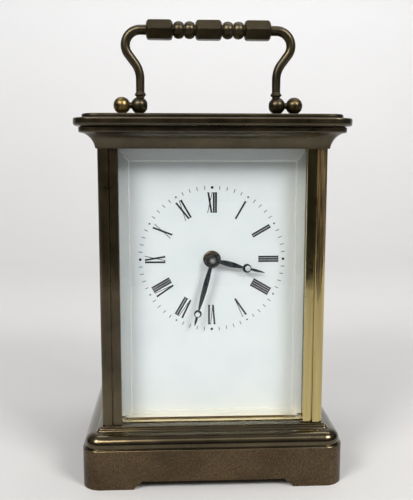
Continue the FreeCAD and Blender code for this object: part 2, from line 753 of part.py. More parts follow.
def case_screws():
    """Screws that hold the pillars: four up through the base and four down through the cornice."""
    low, top = size("base_floor") - 3.0, size("cornice_top")
    screws = []
    for x, y in pillar_centres():
        screws.append(union([rod(2.1, (x, y, low - 1.6), (x, y, low)),
                             rod(1.2, (x, y, low), (x, y, low + 9.4))]))
        screws.append(union([rod(2.1, (x, y, top - 2.6), (x, y, top - 1.1)),
                             rod(1.2, (x, y, top - 15.8), (x, y, top - 2.6))]))
    slot = [block(x - 2.2, x + 2.2, y - 0.3, y + 0.3, top - 1.7, top - 1) for x, y in pillar_centres()]
    slot += [block(x - 2.2, x + 2.2, y - 0.3, y + 0.3, low - 1.7, low - 1) for x, y in pillar_centres()]
    feature("case_screws", group([s.cut(union(slot)) for s in screws]))


# ---------------------------------------------------------------- handle

def ball_with_hole(x):
    """Ball of a handle arm, drilled for its pivot pin."""
    centre = Vector(x, 0, size("pivot_height"))
    ball = Part.makeSphere(size("ball_radius"), centre)
    radius = size("handle_pin_radius") + size("shaft_play")
    return ball, rod(radius, (x - 5, 0, centre.z), (x + 5, 0, centre.z))


def handle_posts():
    """Fixed ball posts that carry the handle, and the pins between them and the handle arms."""
    top, pivot = size("top_plate_top"), size("pivot_height")
    post_x, arm_x, pin = size("post_x"), size("arm_x"), size("handle_pin_radius")
    posts, pins = [], []
    for sign in (-1, 1):
        x = sign * post_x
        hole_end = sign * (post_x + 1.2)
        ball = Part.makeSphere(size("ball_radius"), Vector(x, 0, pivot))
        stem = union([rod(1.5, (x, 0, top), (x, 0, pivot)), rod(2.1, (x, 0, top), (x, 0, top + 0.5)),
                      rod(0.9, (x, 0, top - 6.2), (x, 0, top))])
        hole = rod(pin, (sign * (post_x - 5), 0, pivot), (hole_end, 0, pivot))
        posts.append(ball.fuse(stem).cut(hole))
        pins.append(rod(pin, (sign * (arm_x - 2.2), 0, pivot), (hole_end, 0, pivot)))
    feature("handle_posts", group(posts))
    feature("handle_pivot_pins", group(pins))


def handle_arm(label, sign):
    """Swinging arm: ball, collar and a rod that bows outward and then turns in to the grip."""
    x, low = size("arm_x") - 0.35, size("pivot_height") + 4.6
    thin, thick = size("arm_radius_low"), size("arm_radius_high")
    lean = math.radians(36.5)
    bow_radius, shoulder_radius = 9.0, 5.3
    grip_end, grip_z = size("grip_half_length"), size("grip_height")
    bow_centre = (x + bow_radius, size("pivot_height") + 9.3)
    shoulder_centre = (x - 0.2, grip_z - shoulder_radius)

    def on_arc(centre, radius, angle):
        return Vector(centre[0] + radius * math.cos(angle), 0, centre[1] + radius * math.sin(angle))

    bow = [on_arc(bow_centre, bow_radius, math.pi - t) for t in (0, lean / 2, lean)]
    turns = (-lean, (math.pi / 2 - lean) / 2, math.pi / 2)
    shoulder = [on_arc(shoulder_centre, shoulder_radius, turn) for turn in turns]
    start, end = Vector(x, 0, low), Vector(grip_end, 0, grip_z)
    path = Part.Wire([
        Part.LineSegment(start, bow[0]).toShape(), Part.Arc(*bow).toShape(),
        Part.LineSegment(bow[2], shoulder[0]).toShape(), Part.Arc(*shoulder).toShape(),
        Part.LineSegment(shoulder[2], end).toShape()])
    first = Part.Wire([Part.Circle(start, Z, thin).toShape()])
    last = Part.Wire([Part.Circle(end, X, thick).toShape()])
    bar = path.makePipeShell([first, last], True, True)
    collar = turned(polyline([(0, 2.6), (1.45, 2.6), (1.45, 3.1), (2.12, 3.65), (1.95, 3.95),
                              (thin, 4.7), (thin, 5.2), (0, 5.2)]), Vector(x, 0, size("pivot_height")))
    ball, hole = ball_with_hole(size("arm_x"))
    shape = union([ball, collar, bar]).cut(hole)
    feature(label, shape if sign > 0 else shape.mirror(Vector(0, 0, 0), X))


def handle_grip():
    """Grip: three hexagonal barrels with rounded shoulders and two pairs of beads between them."""
    barrel, bead = size("barrel_length"), size("bead_length")
    half = size("grip_half_length")
    corner = size("grip_across_flats") / math.sqrt(3)
    neck = (2 * half - 3 * barrel - 4 * bead) / 6
    end_radius, bead_edge, bead_radius, shoulder = 2.35, 2.35, 3.06, 1.25
    hexagon = Part.makePolygon([polar(corner, math.radians(60 * k + 30)) for k in range(7)])
    bar = Part.Face(hexagon).extrude(Vector(0, 0, barrel))
    bend = corner - 0.45
    envelope = turned(polyline([(0, 0), (end_radius, 0)])
                      + [arc((end_radius, 0), (bend, 0.42 * shoulder), (corner, shoulder))]
                      + polyline([(corner, shoulder), (corner, barrel - shoulder)])
                      + [arc((corner, barrel - shoulder), (bend, barrel - 0.42 * shoulder),
                             (end_radius, barrel))]
                      + polyline([(end_radius, barrel), (0, barrel)]))
    barrel_shape = bar.common(envelope)
    bead_shape = turned(polyline([(0, 0), (bead_edge, 0)])
                        + [arc((bead_edge, 0), (bead_radius, bead / 2), (bead_edge, bead))]
                        + polyline([(bead_edge, bead), (0, bead)]))
    pieces = [Part.makeCylinder(2.0, 2 * half - 1, Vector(0, 0, 0.5))]
    at = 0.0
    for kind in ("barrel", "bead", "bead", "barrel", "bead", "bead", "barrel"):
        piece = (barrel_shape if kind == "barrel" else bead_shape).copy()
        piece.translate(Vector(0, 0, at))
        pieces.append(piece)
        at += (barrel if kind == "barrel" else bead) + neck
    shape = union(pieces)
    feature("handle_grip", shape, Placement(Vector(-half, 0, size("grip_height")), ALONG_X))


# ---------------------------------------------------------------- dial and hands

def dial():
    """Dial plate, its feet and the centre collar."""
    body = new_body("dial_plate")
    outline = sketch_on(body, "XZ_Plane", "Outline")
    add_rectangle(outline, "31.9", "(Sizes.cornice_bottom - Sizes.base_floor) / 2 - 0.45")
    pad(body, outline, "Sizes.dial_thick", "Plate")
    middle = (size("cornice_bottom") + size("base_floor")) / 2
    hole = sketch_on(body, "XZ_Plane", "CentreHole")
    add_circle(hole, "2.2", 0, size("dial_centre") - middle)
    pocket(body, hole, "CentreDrilling")
    place_body(body, y="Sizes.dial_thick - Sizes.dial_front",
               z="(Sizes.cornice_bottom + Sizes.base_floor) / 2")
    back = size("dial_thick") - size("dial_front")
    feature("dial_feet", group([rod(0.8, (x, back, z), (x, FRONT_OUT, z)) for x, z in DIAL_FEET]))
    collar = turned(polyline([(2.2, 0), (2.95, 0), (2.95, 0.3)])
                    + [arc((2.95, 0.3), (2.75, 0.62), (2.2, 0.7))])
    feature("dial_collar", collar, standing(0, -size("dial_front"), size("dial_centre")))


def turned_place(y_back, clockwise=0):
    """Placement on the dial's centre, with the back face at y_back, turned clockwise by degrees."""
    return standing(CENTRE[0], y_back, CENTRE[1]) * Placement(Vector(0, 0, 0), Rotation(Z, -clockwise))


def hand_shape(reach, ring_centre, ring_radius, hub_radius, bore, blade, thickness):
    """Moon hand pointing up: hub, leaf-shaped blade, ring with an off-centre hole, and a leaf tip."""
    neck = 0.4
    ring_low, ring_high = ring_centre - ring_radius * 0.93, ring_centre + ring_radius * 0.93
    start = hub_radius * 0.8
    widest = start + (ring_low - start) * 0.5
    blade_edges = []
    tip_edges = []
    tip_middle = ring_high + (reach - ring_high) * 0.4
    for sign in (-1, 1):
        blade_edges.append(Part.Arc(Vector(sign * neck, start, 0), Vector(sign * blade, widest, 0),
                                    Vector(sign * neck * 0.75, ring_low, 0)).toShape())
        tip_edges.append(Part.Arc(Vector(sign * neck, ring_high, 0), Vector(sign * 0.42, tip_middle, 0),
                                  Vector(sign * 0.06, reach, 0)).toShape())
    blade_edges.append(Part.LineSegment(Vector(-neck, start, 0), Vector(neck, start, 0)).toShape())
    low_neck = neck * 0.75
    foot = Part.LineSegment(Vector(-low_neck, ring_low, 0), Vector(low_neck, ring_low, 0))
    blade_edges.append(foot.toShape())
    tip_edges.append(Part.LineSegment(Vector(-neck, ring_high, 0), Vector(neck, ring_high, 0)).toShape())
    tip_edges.append(Part.LineSegment(Vector(-0.06, reach, 0), Vector(0.06, reach, 0)).toShape())
    rise = Vector(0, 0, thickness)
    leaves = [Part.Face(Part.Wire(Part.sortEdges(e)[0])).extrude(rise) for e in (blade_edges, tip_edges)]
    ring = Part.makeCylinder(ring_radius, thickness, Vector(0, ring_centre, 0))
    hub = Part.makeCylinder(hub_radius, thickness)
    eye = Part.makeCylinder(ring_radius * 0.62, thickness, Vector(0, ring_centre + ring_radius * 0.22, 0))
    return union(leaves + [ring, hub]).cut(eye).cut(Part.makeCylinder(bore, thickness))


def hands():
    """Hour hand, minute hand and the nut that holds them."""
    hour = hand_shape(size("hour_hand_reach"), 12.0, 1.5, 2.1, 1.7, 0.92, 0.35)
    feature("hour_hand", hour, turned_place(-24.75, HOUR_ANGLE))
    minute = hand_shape(size("minute_hand_reach"), 18.7, 1.3, 1.8, 1.15, 0.86, 0.35)
    feature("minute_hand", minute, turned_place(-25.85, MINUTE_ANGLE))
    nut = turned([*polyline([(0.7, 0), (1.2, 0), (1.2, 0.35)]), arc((1.2, 0.35), (1.1, 0.6), (0.7, 0.7))])
    feature("hand_nut", nut, turned_place(-26.22))


# ---------------------------------------------------------------- movement frame

def movement_plate(label, y_front, bores, threads):
    """Movement plate with rounded upper corners, arbor holes and screw holes as (x, z, radius)."""
    body = new_body(label)
    middle = (size("plate_top") + size("plate_bottom")) / 2
    outline = sketch_on(body, "XZ_Plane", "Outline")
    add_rectangle(outline, "Sizes.plate_half_width", "(Sizes.plate_top - Sizes.plate_bottom) / 2")
    plate = pad(body, outline, "Sizes.plate_thick", "Plate")
    corners = body.newObject("PartDesign::Fillet", "Corners")
    corners.Base = (plate, edges_where(plate.Shape, lambda b: b.YLength > 1 and b.DiagonalLength < 3))
    corners.Radius = 3.0
    doc.recompute()
    for name, holes in (("ArborHoles", bores), ("ScrewHoles", threads)):
        sketch = sketch_on(body, "XZ_Plane", name)
        for x, z, radius in holes:
            add_circle(sketch, radius, x, z - middle)
        pocket(body, sketch, name + "Cut")
    place_body(body, y=f"{y_front} + Sizes.plate_thick", z="(Sizes.plate_top + Sizes.plate_bottom) / 2")


def movement_frame():
    """Front and back plates, the pillars between them, the minute wheel stud and the movement's screws."""
    play = size("shaft_play")
    small = PIVOT_RADIUS + play
    train = [(*THIRD, small), (*CONTRATE, small)]
    screw = 0.8
    pillar_holes = [(x, z, screw) for x, z in PLATE_PILLARS]
    feet = [(x, z, 0.8) for x, z in DIAL_FEET]
    movement_plate("movement_front_plate", "-(Sizes.front_plate_back + Sizes.plate_thick)",
                   train + [(*CENTRE, 1.0 + play), (*BARREL, 2.0 + play)],
                   pillar_holes + [(*MINUTE, 0.8)])
    movement_plate("movement_back_plate", "Sizes.back_plate_front",
                   train + [(*CENTRE, 1.0 + play), (*BARREL, 2.0 + play)],
                   pillar_holes + [(*CLICK, 0.7)])
    posts = [rod(2.2, (x, FRONT_IN, z), (x, BACK_IN, z)) for x, z in PLATE_PILLARS]
    bands = [rod(2.7, (x, y, z), (x, y + 2, z)) for x, z in PLATE_PILLARS for y in (FRONT_IN, BACK_IN - 2)]
    threads = [rod(screw, (x, FRONT_OUT, z), (x, BACK_OUT, z)) for x, z in PLATE_PILLARS]
    pillars = []
    for i, post in enumerate(posts):
        pillars.append(union([post, bands[2 * i], bands[2 * i + 1]]).cut(threads[i]))
    feature("plate_pillars", group(pillars))
    screws = []
    for x, z in PLATE_PILLARS:
        screws.append(screw_shape(1.6, 1.0, screw, 6.0, Placement(Vector(x, FRONT_OUT, z), Rotation(X, 90))))
        screws.append(screw_shape(1.6, 1.0, screw, 6.0, Placement(Vector(x, BACK_OUT, z), Rotation(X, -90))))
    shoulder = stepped_shaft(BACK_IN, [(0.7, 1.8), (1.0, 1.8), (1.7, 0.6)], *CLICK)
    slot = block(CLICK[0] - 2, CLICK[0] + 2, BACK_OUT + 2.1, BACK_OUT + 2.5, CLICK[1] - 0.2, CLICK[1] + 0.2)
    screws.append(shoulder.cut(slot))
    screws += [screw_shape(1.1, 0.7, 0.5, 1.5, Placement(Vector(x, y, PLATFORM_TOP), Rotation(Z, 40)))
               for x, y in platform_screw_spots()]
    feature("movement_screws", group(screws))
    feature("minute_wheel_stud", stepped_shaft(-21.6, [(1.1, 0.4), (0.8, 21.2 + FRONT_IN)], *MINUTE))


def screw_shape(head_radius, head_height, radius, length, place):
    """Cheese-head screw: the head stands above z = 0 and the shank goes below."""
    slot_corner = Vector(-1.5 * head_radius, -0.2, 0.5 * head_height)
    slot = Part.makeBox(3 * head_radius, 0.4, head_height, slot_corner)
    shape = Part.makeCylinder(head_radius, head_height).cut(slot)
    shape = shape.fuse(Part.makeCylinder(radius, length, Vector(0, 0, -length)))
    shape.Placement = place
    return shape


# ---------------------------------------------------------------- going train

def barrel():
    """Going barrel: toothed drum, cover, mainspring and winding arbor."""
    up = direction(BARREL, CENTRE)
    rim = gear(BARREL_TEETH, BARREL_MODULE, 1.8, up, 17.5)
    drum = union([rim, Part.makeCylinder(18.5, 14.5, Vector(0, 0, 1.8)).cut(
        Part.makeCylinder(17.5, 13.3, Vector(0, 0, 1.8)))])
    drum = drum.cut(Part.makeCylinder(2.6, 20))
    feature("barrel_drum", drum, standing(BARREL[0], 6.8, BARREL[1]))
    cover = Part.makeCylinder(17.45, 1.2).cut(Part.makeCylinder(2.6, 1.2))
    feature("barrel_cover", cover, standing(BARREL[0], 6.8, BARREL[1]))
    spring = spiral_strip(7.0, 17.2, 9, 0.35, 12.0)
    feature("mainspring", spring, standing(BARREL[0], 4.9, BARREL[1]))
    body = stepped_shaft(FRONT_OUT, [(2.0, 7.6), (5.0, 13.6), (2.0, 10.3)], *BARREL)
    square = block(-1.4, 1.4, BACK_OUT + 1.9, 23.0, BARREL[1] - 1.4, BARREL[1] + 1.4)
    feature("barrel_arbor", union([body, square]))


def spiral_strip(inner, outer, turns, thickness, height):
    """Flat spiral spring from z = 0 up."""
    steps = 16 * turns
    growth = (outer - inner - thickness) / (2 * math.pi * turns)
    sides = []
    for offset in (0, thickness):
        points = [polar(inner + offset + growth * a, a) for a in
                  (2 * math.pi * turns * k / steps for k in range(steps + 1))]
        curve = Part.BSplineCurve()
        curve.interpolate(points)
        sides.append((curve.toShape(), points[0], points[-1]))
    (inside, in_start, in_end), (outside, out_start, out_end) = sides
    ends = [Part.LineSegment(in_start, out_start).toShape(), Part.LineSegment(in_end, out_end).toShape()]
    wire = Part.Wire(Part.sortEdges([inside, outside] + ends)[0])
    return Part.Face(wire).extrude(Vector(0, 0, height))


def winding_work():
    """Ratchet wheel on the barrel arbor, with the click and click spring on the back plate."""
    tip, root = 7.0, 6.1
    points = []
    for k in range(RATCHET_TEETH):
        angle = 2 * math.pi * k / RATCHET_TEETH
        points += [polar(tip, angle), polar(root, angle + 0.02)]
    ratchet = Part.Face(Part.makePolygon(points + points[:1])).extrude(Vector(0, 0, 1.2))
    ratchet = ratchet.cut(Part.makeCylinder(2.0, 1.2))
    feature("ratchet_wheel", ratchet, standing(BARREL[0], BACK_OUT + 1.7, BARREL[1]))
    click = slab([(-1.7, 1.3, 0.6), (1.9, 1.7, 0.8), (4.6, -0.2, 0), (3.9, -1.0, 0.2), (1.6, -1.2, 0.6),
                  (-1.7, -1.3, 0.6)], 1.0)
    click = click.cut(Part.makeCylinder(1.05, 1.0))
    rest_turn = Placement(Vector(0, 0, 0), Rotation(Z, CLICK_TURN))
    feature("click", click, standing(CLICK[0], BACK_OUT + 1.6, CLICK[1]) * rest_turn)
    spring_x, spring_z = CLICK[0] - 2.6, CLICK[1]
    outer = spring_x + 0.05
    blade = block(spring_x - 0.25, outer, BACK_OUT + 0.3, BACK_OUT + 1.4, spring_z - 16, spring_z + 2)
    seat = block(spring_x - 1.9, outer, BACK_OUT, BACK_OUT + 1.4, spring_z - 19.5, spring_z - 15.5)
    leaf = union([blade, seat])
    feature("click_spring", leaf)


def arbor_with_pinion(label, place, shaft, teeth, module, y_back, width, phase, extra=()):
    """Steel arbor turned in steps, with its pinion leaves."""
    leaves = gear(teeth, module, width, phase, 0)
    leaves.Placement = standing(place[0], y_back, place[1])
    feature(label, union([stepped_shaft(shaft[0], shaft[1], *place), leaves, *extra]))


def plain_wheel(label, place, teeth, module, width, y_back, phase, bore, arms=5):
    """Brass wheel on an arbor."""
    wheel = crossed_wheel(teeth, module, width, phase, bore, arms)
    feature(label, wheel, standing(place[0], y_back, place[1]))


def going_train():
    """Centre, third and contrate arbors with their wheels."""
    span = BACK_OUT - FRONT_OUT
    nose = 11.0
    setting_square = block(-0.7, 0.7, BACK_OUT, BACK_OUT + 6.0, CENTRE[1] - 0.7, CENTRE[1] + 0.7)
    arbor_with_pinion("centre_arbor", CENTRE, (FRONT_OUT - nose, [(0.7, nose), (1.0, span + 0.2)]),
                      CENTRE_LEAVES, BARREL_MODULE, 8.4, 4.0,
                      gap_phase(CENTRE_LEAVES, direction(CENTRE, BARREL)), [setting_square])
    plain_wheel("centre_wheel", CENTRE, CENTRE_TEETH, CENTRE_MODULE, 0.9, -11.7,
                direction(CENTRE, THIRD), 1.0)
    inside = BACK_IN - FRONT_IN
    pivots = [(PIVOT_RADIUS, 2.1), (ARBOR_RADIUS, inside - 0.6), (PIVOT_RADIUS, 2.1)]
    start = FRONT_OUT
    arbor_with_pinion("third_arbor", THIRD, (start, pivots), THIRD_LEAVES, CENTRE_MODULE, -10.6, 3.0,
                      gap_phase(THIRD_LEAVES, direction(THIRD, CENTRE)))
    plain_wheel("third_wheel", THIRD, THIRD_TEETH, THIRD_MODULE, 0.8, 6.8,
                direction(THIRD, CONTRATE), ARBOR_RADIUS)
    arbor_with_pinion("contrate_arbor", CONTRATE, (start, pivots), CONTRATE_LEAVES, THIRD_MODULE, 7.8, 3.0,
                      gap_phase(CONTRATE_LEAVES, direction(CONTRATE, THIRD)))
    feature("contrate_wheel", contrate_wheel())


def contrate_wheel():
    """Contrate wheel: teeth stand on the back face of the rim, square to the wheel."""
    inner, outer, root_y = CONTRATE_RADIUS - 0.6, CONTRATE_RADIUS + 0.6, -4.3
    disc = Part.makeCylinder(outer, 1.0).cut(Part.makeCylinder(ARBOR_RADIUS, 1.0))
    disc = disc.cut(crossings(2.4, inner - 0.6, 4, 1.2, 1.0))
    disc.Placement = standing(CONTRATE[0], root_y, CONTRATE[1])
    share = 0.36 * 2 * math.pi * CONTRATE_RADIUS / CONTRATE_TEETH
    height = CONTRATE_TIP - root_y
    teeth = []
    for k in range(CONTRATE_TEETH):
        face = Part.Face(Part.makePolygon([
            Vector(-share / 2, 0, 0), Vector(share / 2, 0, 0), Vector(share * 0.25, height, 0),
            Vector(-share * 0.25, height, 0), Vector(-share / 2, 0, 0)]))
        tooth = face.extrude(Vector(0, 0, outer - inner - 0.1))
        tooth.translate(Vector(CONTRATE[0], root_y, CONTRATE[1] + inner + 0.05))
        tooth.rotate(Vector(CONTRATE[0], 0, CONTRATE[1]), Y, 360 * k / CONTRATE_TEETH)
        teeth.append(tooth)
    return union([disc] + teeth)


def motion_work():
    """Twelve-to-one gearing between the minute hand and the hour hand."""
    toward = direction(CENTRE, MINUTE)
    pinion = gear(CANNON_LEAVES, CANNON_MODULE, 1.6, toward, 0)
    pipe = Part.makeCylinder(1.15, 10.2)
    cannon = union([pinion, pipe]).cut(Part.makeCylinder(0.7, 12))
    feature("cannon_pinion", cannon, standing(CENTRE[0], -16.0, CENTRE[1]))
    wheel = gear(MINUTE_TEETH, CANNON_MODULE, 0.8, gap_phase(MINUTE_TEETH, toward + math.pi), 0)
    leaves = gear(MINUTE_LEAVES, HOUR_MODULE, 3.6, gap_phase(MINUTE_LEAVES, toward + math.pi), 0)
    minute = union([wheel, leaves]).cut(Part.makeCylinder(0.8 + size("shaft_play"), 5))
    feature("minute_wheel", minute, standing(MINUTE[0], -16.7, MINUTE[1]))
    hour = gear(HOUR_TEETH, HOUR_MODULE, 0.8, toward, 0)
    tube = Part.makeCylinder(1.7, 5.9)
    hour = union([hour, tube]).cut(Part.makeCylinder(1.15 + size("shaft_play"), 6))
    feature("hour_wheel", hour, standing(CENTRE[0], -19.2, CENTRE[1]))


# ---------------------------------------------------------------- platform escapement

def platform():
    """Platform plate across the movement's top, and the lower potence of the escape arbor."""
    body = new_body("platform_plate")
    outline = sketch_on(body, "XY_Plane", "Outline")
    add_rectangle(outline, "Sizes.platform_half_width",
                  "(Sizes.front_plate_back + Sizes.back_plate_front) / 2 + Sizes.plate_thick")
    pad(body, outline, "Sizes.platform_thick", "Plate")
    middle = (BACK_OUT + FRONT_OUT) / 2
    holes = sketch_on(body, "XY_Plane", "Holes")
    add_circle(holes, 1.6, 0, ESCAPE_Y - middle)
    add_circle(holes, 0.3, 0, PALLET_Y - middle)
    add_circle(holes, 0.3, 0, BALANCE_Y - middle)
    pocket(body, holes, "Drilling")
    threads = sketch_on(body, "XY_Plane", "ScrewHoles")
    for x, y in platform_screw_spots():
        add_circle(threads, 0.5, x, y - middle)
    pocket(body, threads, "ScrewDrilling")
    place_body(body, y="(Sizes.back_plate_front - Sizes.front_plate_back) / 2", z="Sizes.plate_top")
    top = size("plate_top")
    potence = union([block(-1.6, 1.6, ESCAPE_Y - 0.9, 2.6, top - 6.2, top - 5.2),
                     block(-1.6, 1.6, 1.2, 2.6, top - 6.2, top)])
    feature("escape_potence", potence.cut(rod(0.3, (0, ESCAPE_Y, top - 7), (0, ESCAPE_Y, top - 5))))


def platform_screw_spots():
    """Centres of the four platform screws."""
    return [(sx * 11.0, y) for sx in (-1, 1) for y in ((FRONT_OUT + FRONT_IN) / 2, (BACK_IN + BACK_OUT) / 2)]


def escapement():
    """Escape arbor and wheel, pallet fork and the bridge over them."""
    top = size("plate_top")
    leaves = gear(ESCAPE_LEAVES, 2 * CONTRATE_RADIUS / CONTRATE_TEETH, 2.4,
                  gap_phase(ESCAPE_LEAVES, -math.pi / 2), 0)
    leaves.translate(Vector(0, ESCAPE_Y, CONTRATE[1] + CONTRATE_RADIUS - 1.2))
    shaft = [rod(0.25, (0, ESCAPE_Y, top - 6.0), (0, ESCAPE_Y, top - 4.9)),
             rod(0.45, (0, ESCAPE_Y, top - 4.9), (0, ESCAPE_Y, PLATFORM_TOP + 2.4)),
             rod(0.25, (0, ESCAPE_Y, PLATFORM_TOP + 2.4), (0, ESCAPE_Y, PLATFORM_TOP + 3.2))]
    feature("escape_arbor", union([leaves] + shaft))
    tip, heel, root = 3.6, 3.35, 2.7
    pitch = 2 * math.pi / ESCAPE_TEETH
    points = []
    for k in range(ESCAPE_TEETH):
        a = k * pitch
        points += [polar(root, a - 0.14), polar(tip, a - 0.03), polar(heel, a + 0.07), polar(root, a - 0.02)]
    wheel = Part.Face(Part.makePolygon(points + points[:1])).extrude(Vector(0, 0, 0.3))
    wheel = wheel.cut(crossings(0.9, 2.2, 4, 0.4, 0.3)).cut(Part.makeCylinder(0.45, 0.3))
    wheel.translate(Vector(0, ESCAPE_Y, PLATFORM_TOP + 1.5))
    feature("escape_wheel", wheel)
    anchor = slab([(0.5, -0.28, 0), (1.8, -0.45, 0.3), (1.95, -0.8, 0), (2.4, -0.75, 0), (2.3, -0.1, 0.4),
                   (0.9, 0.55, 0.4), (0.28, 0.9, 0.2), (0.22, 3.3, 0), (0.75, 4.2, 0), (0.42, 4.3, 0),
                   (0.15, 3.75, 0), (-0.15, 3.75, 0), (-0.42, 4.3, 0), (-0.75, 4.2, 0), (-0.22, 3.3, 0),
                   (-0.28, 0.9, 0.2), (-0.9, 0.55, 0.4), (-2.3, -0.1, 0.4), (-2.4, -0.75, 0),
                   (-1.95, -0.8, 0), (-1.8, -0.45, 0.3), (-0.5, -0.28, 0)], 0.3)
    anchor.translate(Vector(0, PALLET_Y, PLATFORM_TOP + 1.5))
    arbor = rod(0.25, (0, PALLET_Y, PLATFORM_TOP - 1.0), (0, PALLET_Y, PLATFORM_TOP + 3.2))
    feature("pallet_fork", union([anchor, arbor]))
    low = PLATFORM_TOP + 2.6
    bridge = union([block(-6.2, 6.2, ESCAPE_Y - 1.3, PALLET_Y + 1.3, low, low + 0.8),
                    block(-6.2, -4.6, ESCAPE_Y - 1.3, PALLET_Y + 1.3, PLATFORM_TOP, low),
                    block(4.6, 6.2, ESCAPE_Y - 1.3, PALLET_Y + 1.3, PLATFORM_TOP, low)])
    holes = [rod(0.3, (0, y, low - 1), (0, y, low + 1)) for y in (ESCAPE_Y, PALLET_Y)]
    feature("lever_bridge", bridge.cut(union(holes)))


def balance():
    """Balance staff, balance wheel with rim screws, hairspring, cock and regulator."""
    base = PLATFORM_TOP
    y = BALANCE_Y
    steps = ((0.25, -1.0, 0.8), (0.5, 0.8, 6.2), (1.25, 2.15, 2.5), (0.25, 6.2, 7.4))
    staff = union([rod(radius, (0, y, base + start), (0, y, base + end)) for radius, start, end in steps])
    feature("balance_staff", staff)
    rim_out, rim_in = 6.9, 6.1
    wheel = Part.makeCylinder(rim_out, 0.8).cut(Part.makeCylinder(rim_in, 0.8))
    bar = Part.makeBox(2 * rim_in + 0.4, 1.1, 0.4, Vector(-rim_in - 0.2, -0.55, 0.2))
    hub = Part.makeCylinder(1.2, 0.6, Vector(0, 0, 0.1))
    studs = []
    for k in range(12):
        screw = Part.makeCylinder(0.32, 0.75, Vector(rim_out - 0.15, 0, 0.4), X)
        screw.rotate(Vector(0, 0, 0), Z, 15 + 30 * k)
        studs.append(screw)
    wheel = union([wheel, bar, hub] + studs).cut(Part.makeCylinder(0.5, 1))
    wheel.translate(Vector(0, y, base + 4.2))
    feature("balance_wheel", wheel)
    spring = spiral_strip(0.75, 3.9, 9, 0.08, 0.4)
    spring.translate(Vector(0, y, base + 5.3))
    feature("hairspring", spring)
    cock = union([block(9.0, 12.6, y - 3, y + 3, base, base + 6.6),
                  slab([(-1.9, -1.6, 1.5), (9.5, -3.0, 0), (12.6, -3.0, 0.8), (12.6, 3.0, 0.8), (9.5, 3.0, 0),
                        (-1.9, 1.6, 1.5)], 0.9).translate(Vector(0, y, base + 6.6))])
    feature("balance_cock", cock.cut(rod(0.3, (0, y, base + 6), (0, y, base + 8))))
    index = slab([(-1.3, -1.3, 0.8), (1.3, -1.3, 0.8), (0.45, 1.5, 0.3), (0.18, 7.2, 0.1), (-0.18, 7.2, 0.1),
                  (-0.45, 1.5, 0.3)], 0.3)
    index.rotate(Vector(0, 0, 0), Z, 90)
    index = index.cut(Part.makeCylinder(0.45, 0.3))
    index.translate(Vector(0, y, base + 7.53))
    feature("regulator", index)


# ---------------------------------------------------------------- build, check and write

def build():
    """Make every sub-part."""
    base_moulding()
    base_floor_plate()
    for label, sx, sy in (("pillar_front_left", -1, -1), ("pillar_front_right", 1, -1),
                          ("pillar_rear_left", -1, 1), ("pillar_rear_right", 1, 1)):
        pillar(label, sx, sy)
    cornice_moulding()
    top_plate()
    glasses()
    rear_door()
    case_screws()
    handle_posts()
    handle_arm("handle_arm_left", -1)
    handle_arm("handle_arm_right", 1)
    handle_grip()
    dial()
    hands()
    movement_frame()
    barrel()
    winding_work()
    going_train()
    motion_work()
    platform()
    escapement()
    balance()
    doc.recompute()


def check():
    """Stop if any object failed or any sub-part has no sound shape."""
    for item in doc.Objects:
        if {"Invalid", "Error"} & set(item.State):
            raise RuntimeError(f"{item.Label} failed: {item.State}")
    for item in nodes:
        if item.Shape.isNull() or not item.Shape.isValid():
            raise RuntimeError(f"{item.Label} has no valid shape")


def write():
    """Write each sub-part to its own STEP file."""
    os.makedirs("parts", exist_ok=True)
    for item in nodes:
        item.Shape.exportStep(f"parts/{item.Label}.step")
    print(len(nodes), "sub-parts written")


build()
check()
write()
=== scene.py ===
"""Looks of a brass carriage clock: materials, printed dial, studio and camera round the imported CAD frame."""
import math

import bmesh
import bpy
from mathutils import Matrix, Vector


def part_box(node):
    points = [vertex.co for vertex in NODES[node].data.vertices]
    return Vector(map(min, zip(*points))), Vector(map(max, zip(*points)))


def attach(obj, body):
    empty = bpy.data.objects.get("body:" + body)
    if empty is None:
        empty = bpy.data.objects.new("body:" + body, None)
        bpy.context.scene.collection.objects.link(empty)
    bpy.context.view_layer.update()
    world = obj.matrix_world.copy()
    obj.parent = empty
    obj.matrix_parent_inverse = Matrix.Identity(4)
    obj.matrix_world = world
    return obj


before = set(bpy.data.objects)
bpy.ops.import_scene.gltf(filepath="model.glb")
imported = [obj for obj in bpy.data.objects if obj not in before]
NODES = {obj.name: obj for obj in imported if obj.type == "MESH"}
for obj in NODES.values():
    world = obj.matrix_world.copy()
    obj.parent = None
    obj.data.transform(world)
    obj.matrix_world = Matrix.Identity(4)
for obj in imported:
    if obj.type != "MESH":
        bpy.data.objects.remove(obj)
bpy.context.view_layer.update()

MM = 0.001

EDGE_RADIUS = 0.13   # how far the cast mouldings' sharp edges look rounded, in mm
BEVEL = 5.0 * MM     # distance of the painted highlight line on a pane's bevel from the pane's edge; the bevel's painted shade reaches as far in
FACE_TOP = 13.15     # height on the rounded top edge of the base's face, where the matt finish ends, in mm
FLANGE_LEVEL = 16.5  # height of the base's inner flange, which is bare brass indoors, in mm
GROOVE_X = 33.35     # x in the groove between the front right pillar's two strips, in mm

WORN_BRONZE = (0.30, 0.22, 0.12)
DARK_FILM = (0.022, 0.021, 0.018)
BRUSHED_BROWN = (0.12, 0.092, 0.055)


def millimetres(*values):
    """A point given in millimetres, in metres."""
    return Vector(values) * MM


# ---------------------------------------------------------------- materials

def set_stops(color_ramp, stops):
    """Gives a colour ramp its (position, colour) stops."""
    while len(color_ramp.elements) < len(stops):
        color_ramp.elements.new(0.5)
    for element, (position, colour) in zip(color_ramp.elements, stops):
        element.position = position
        element.color = (*colour, 1)


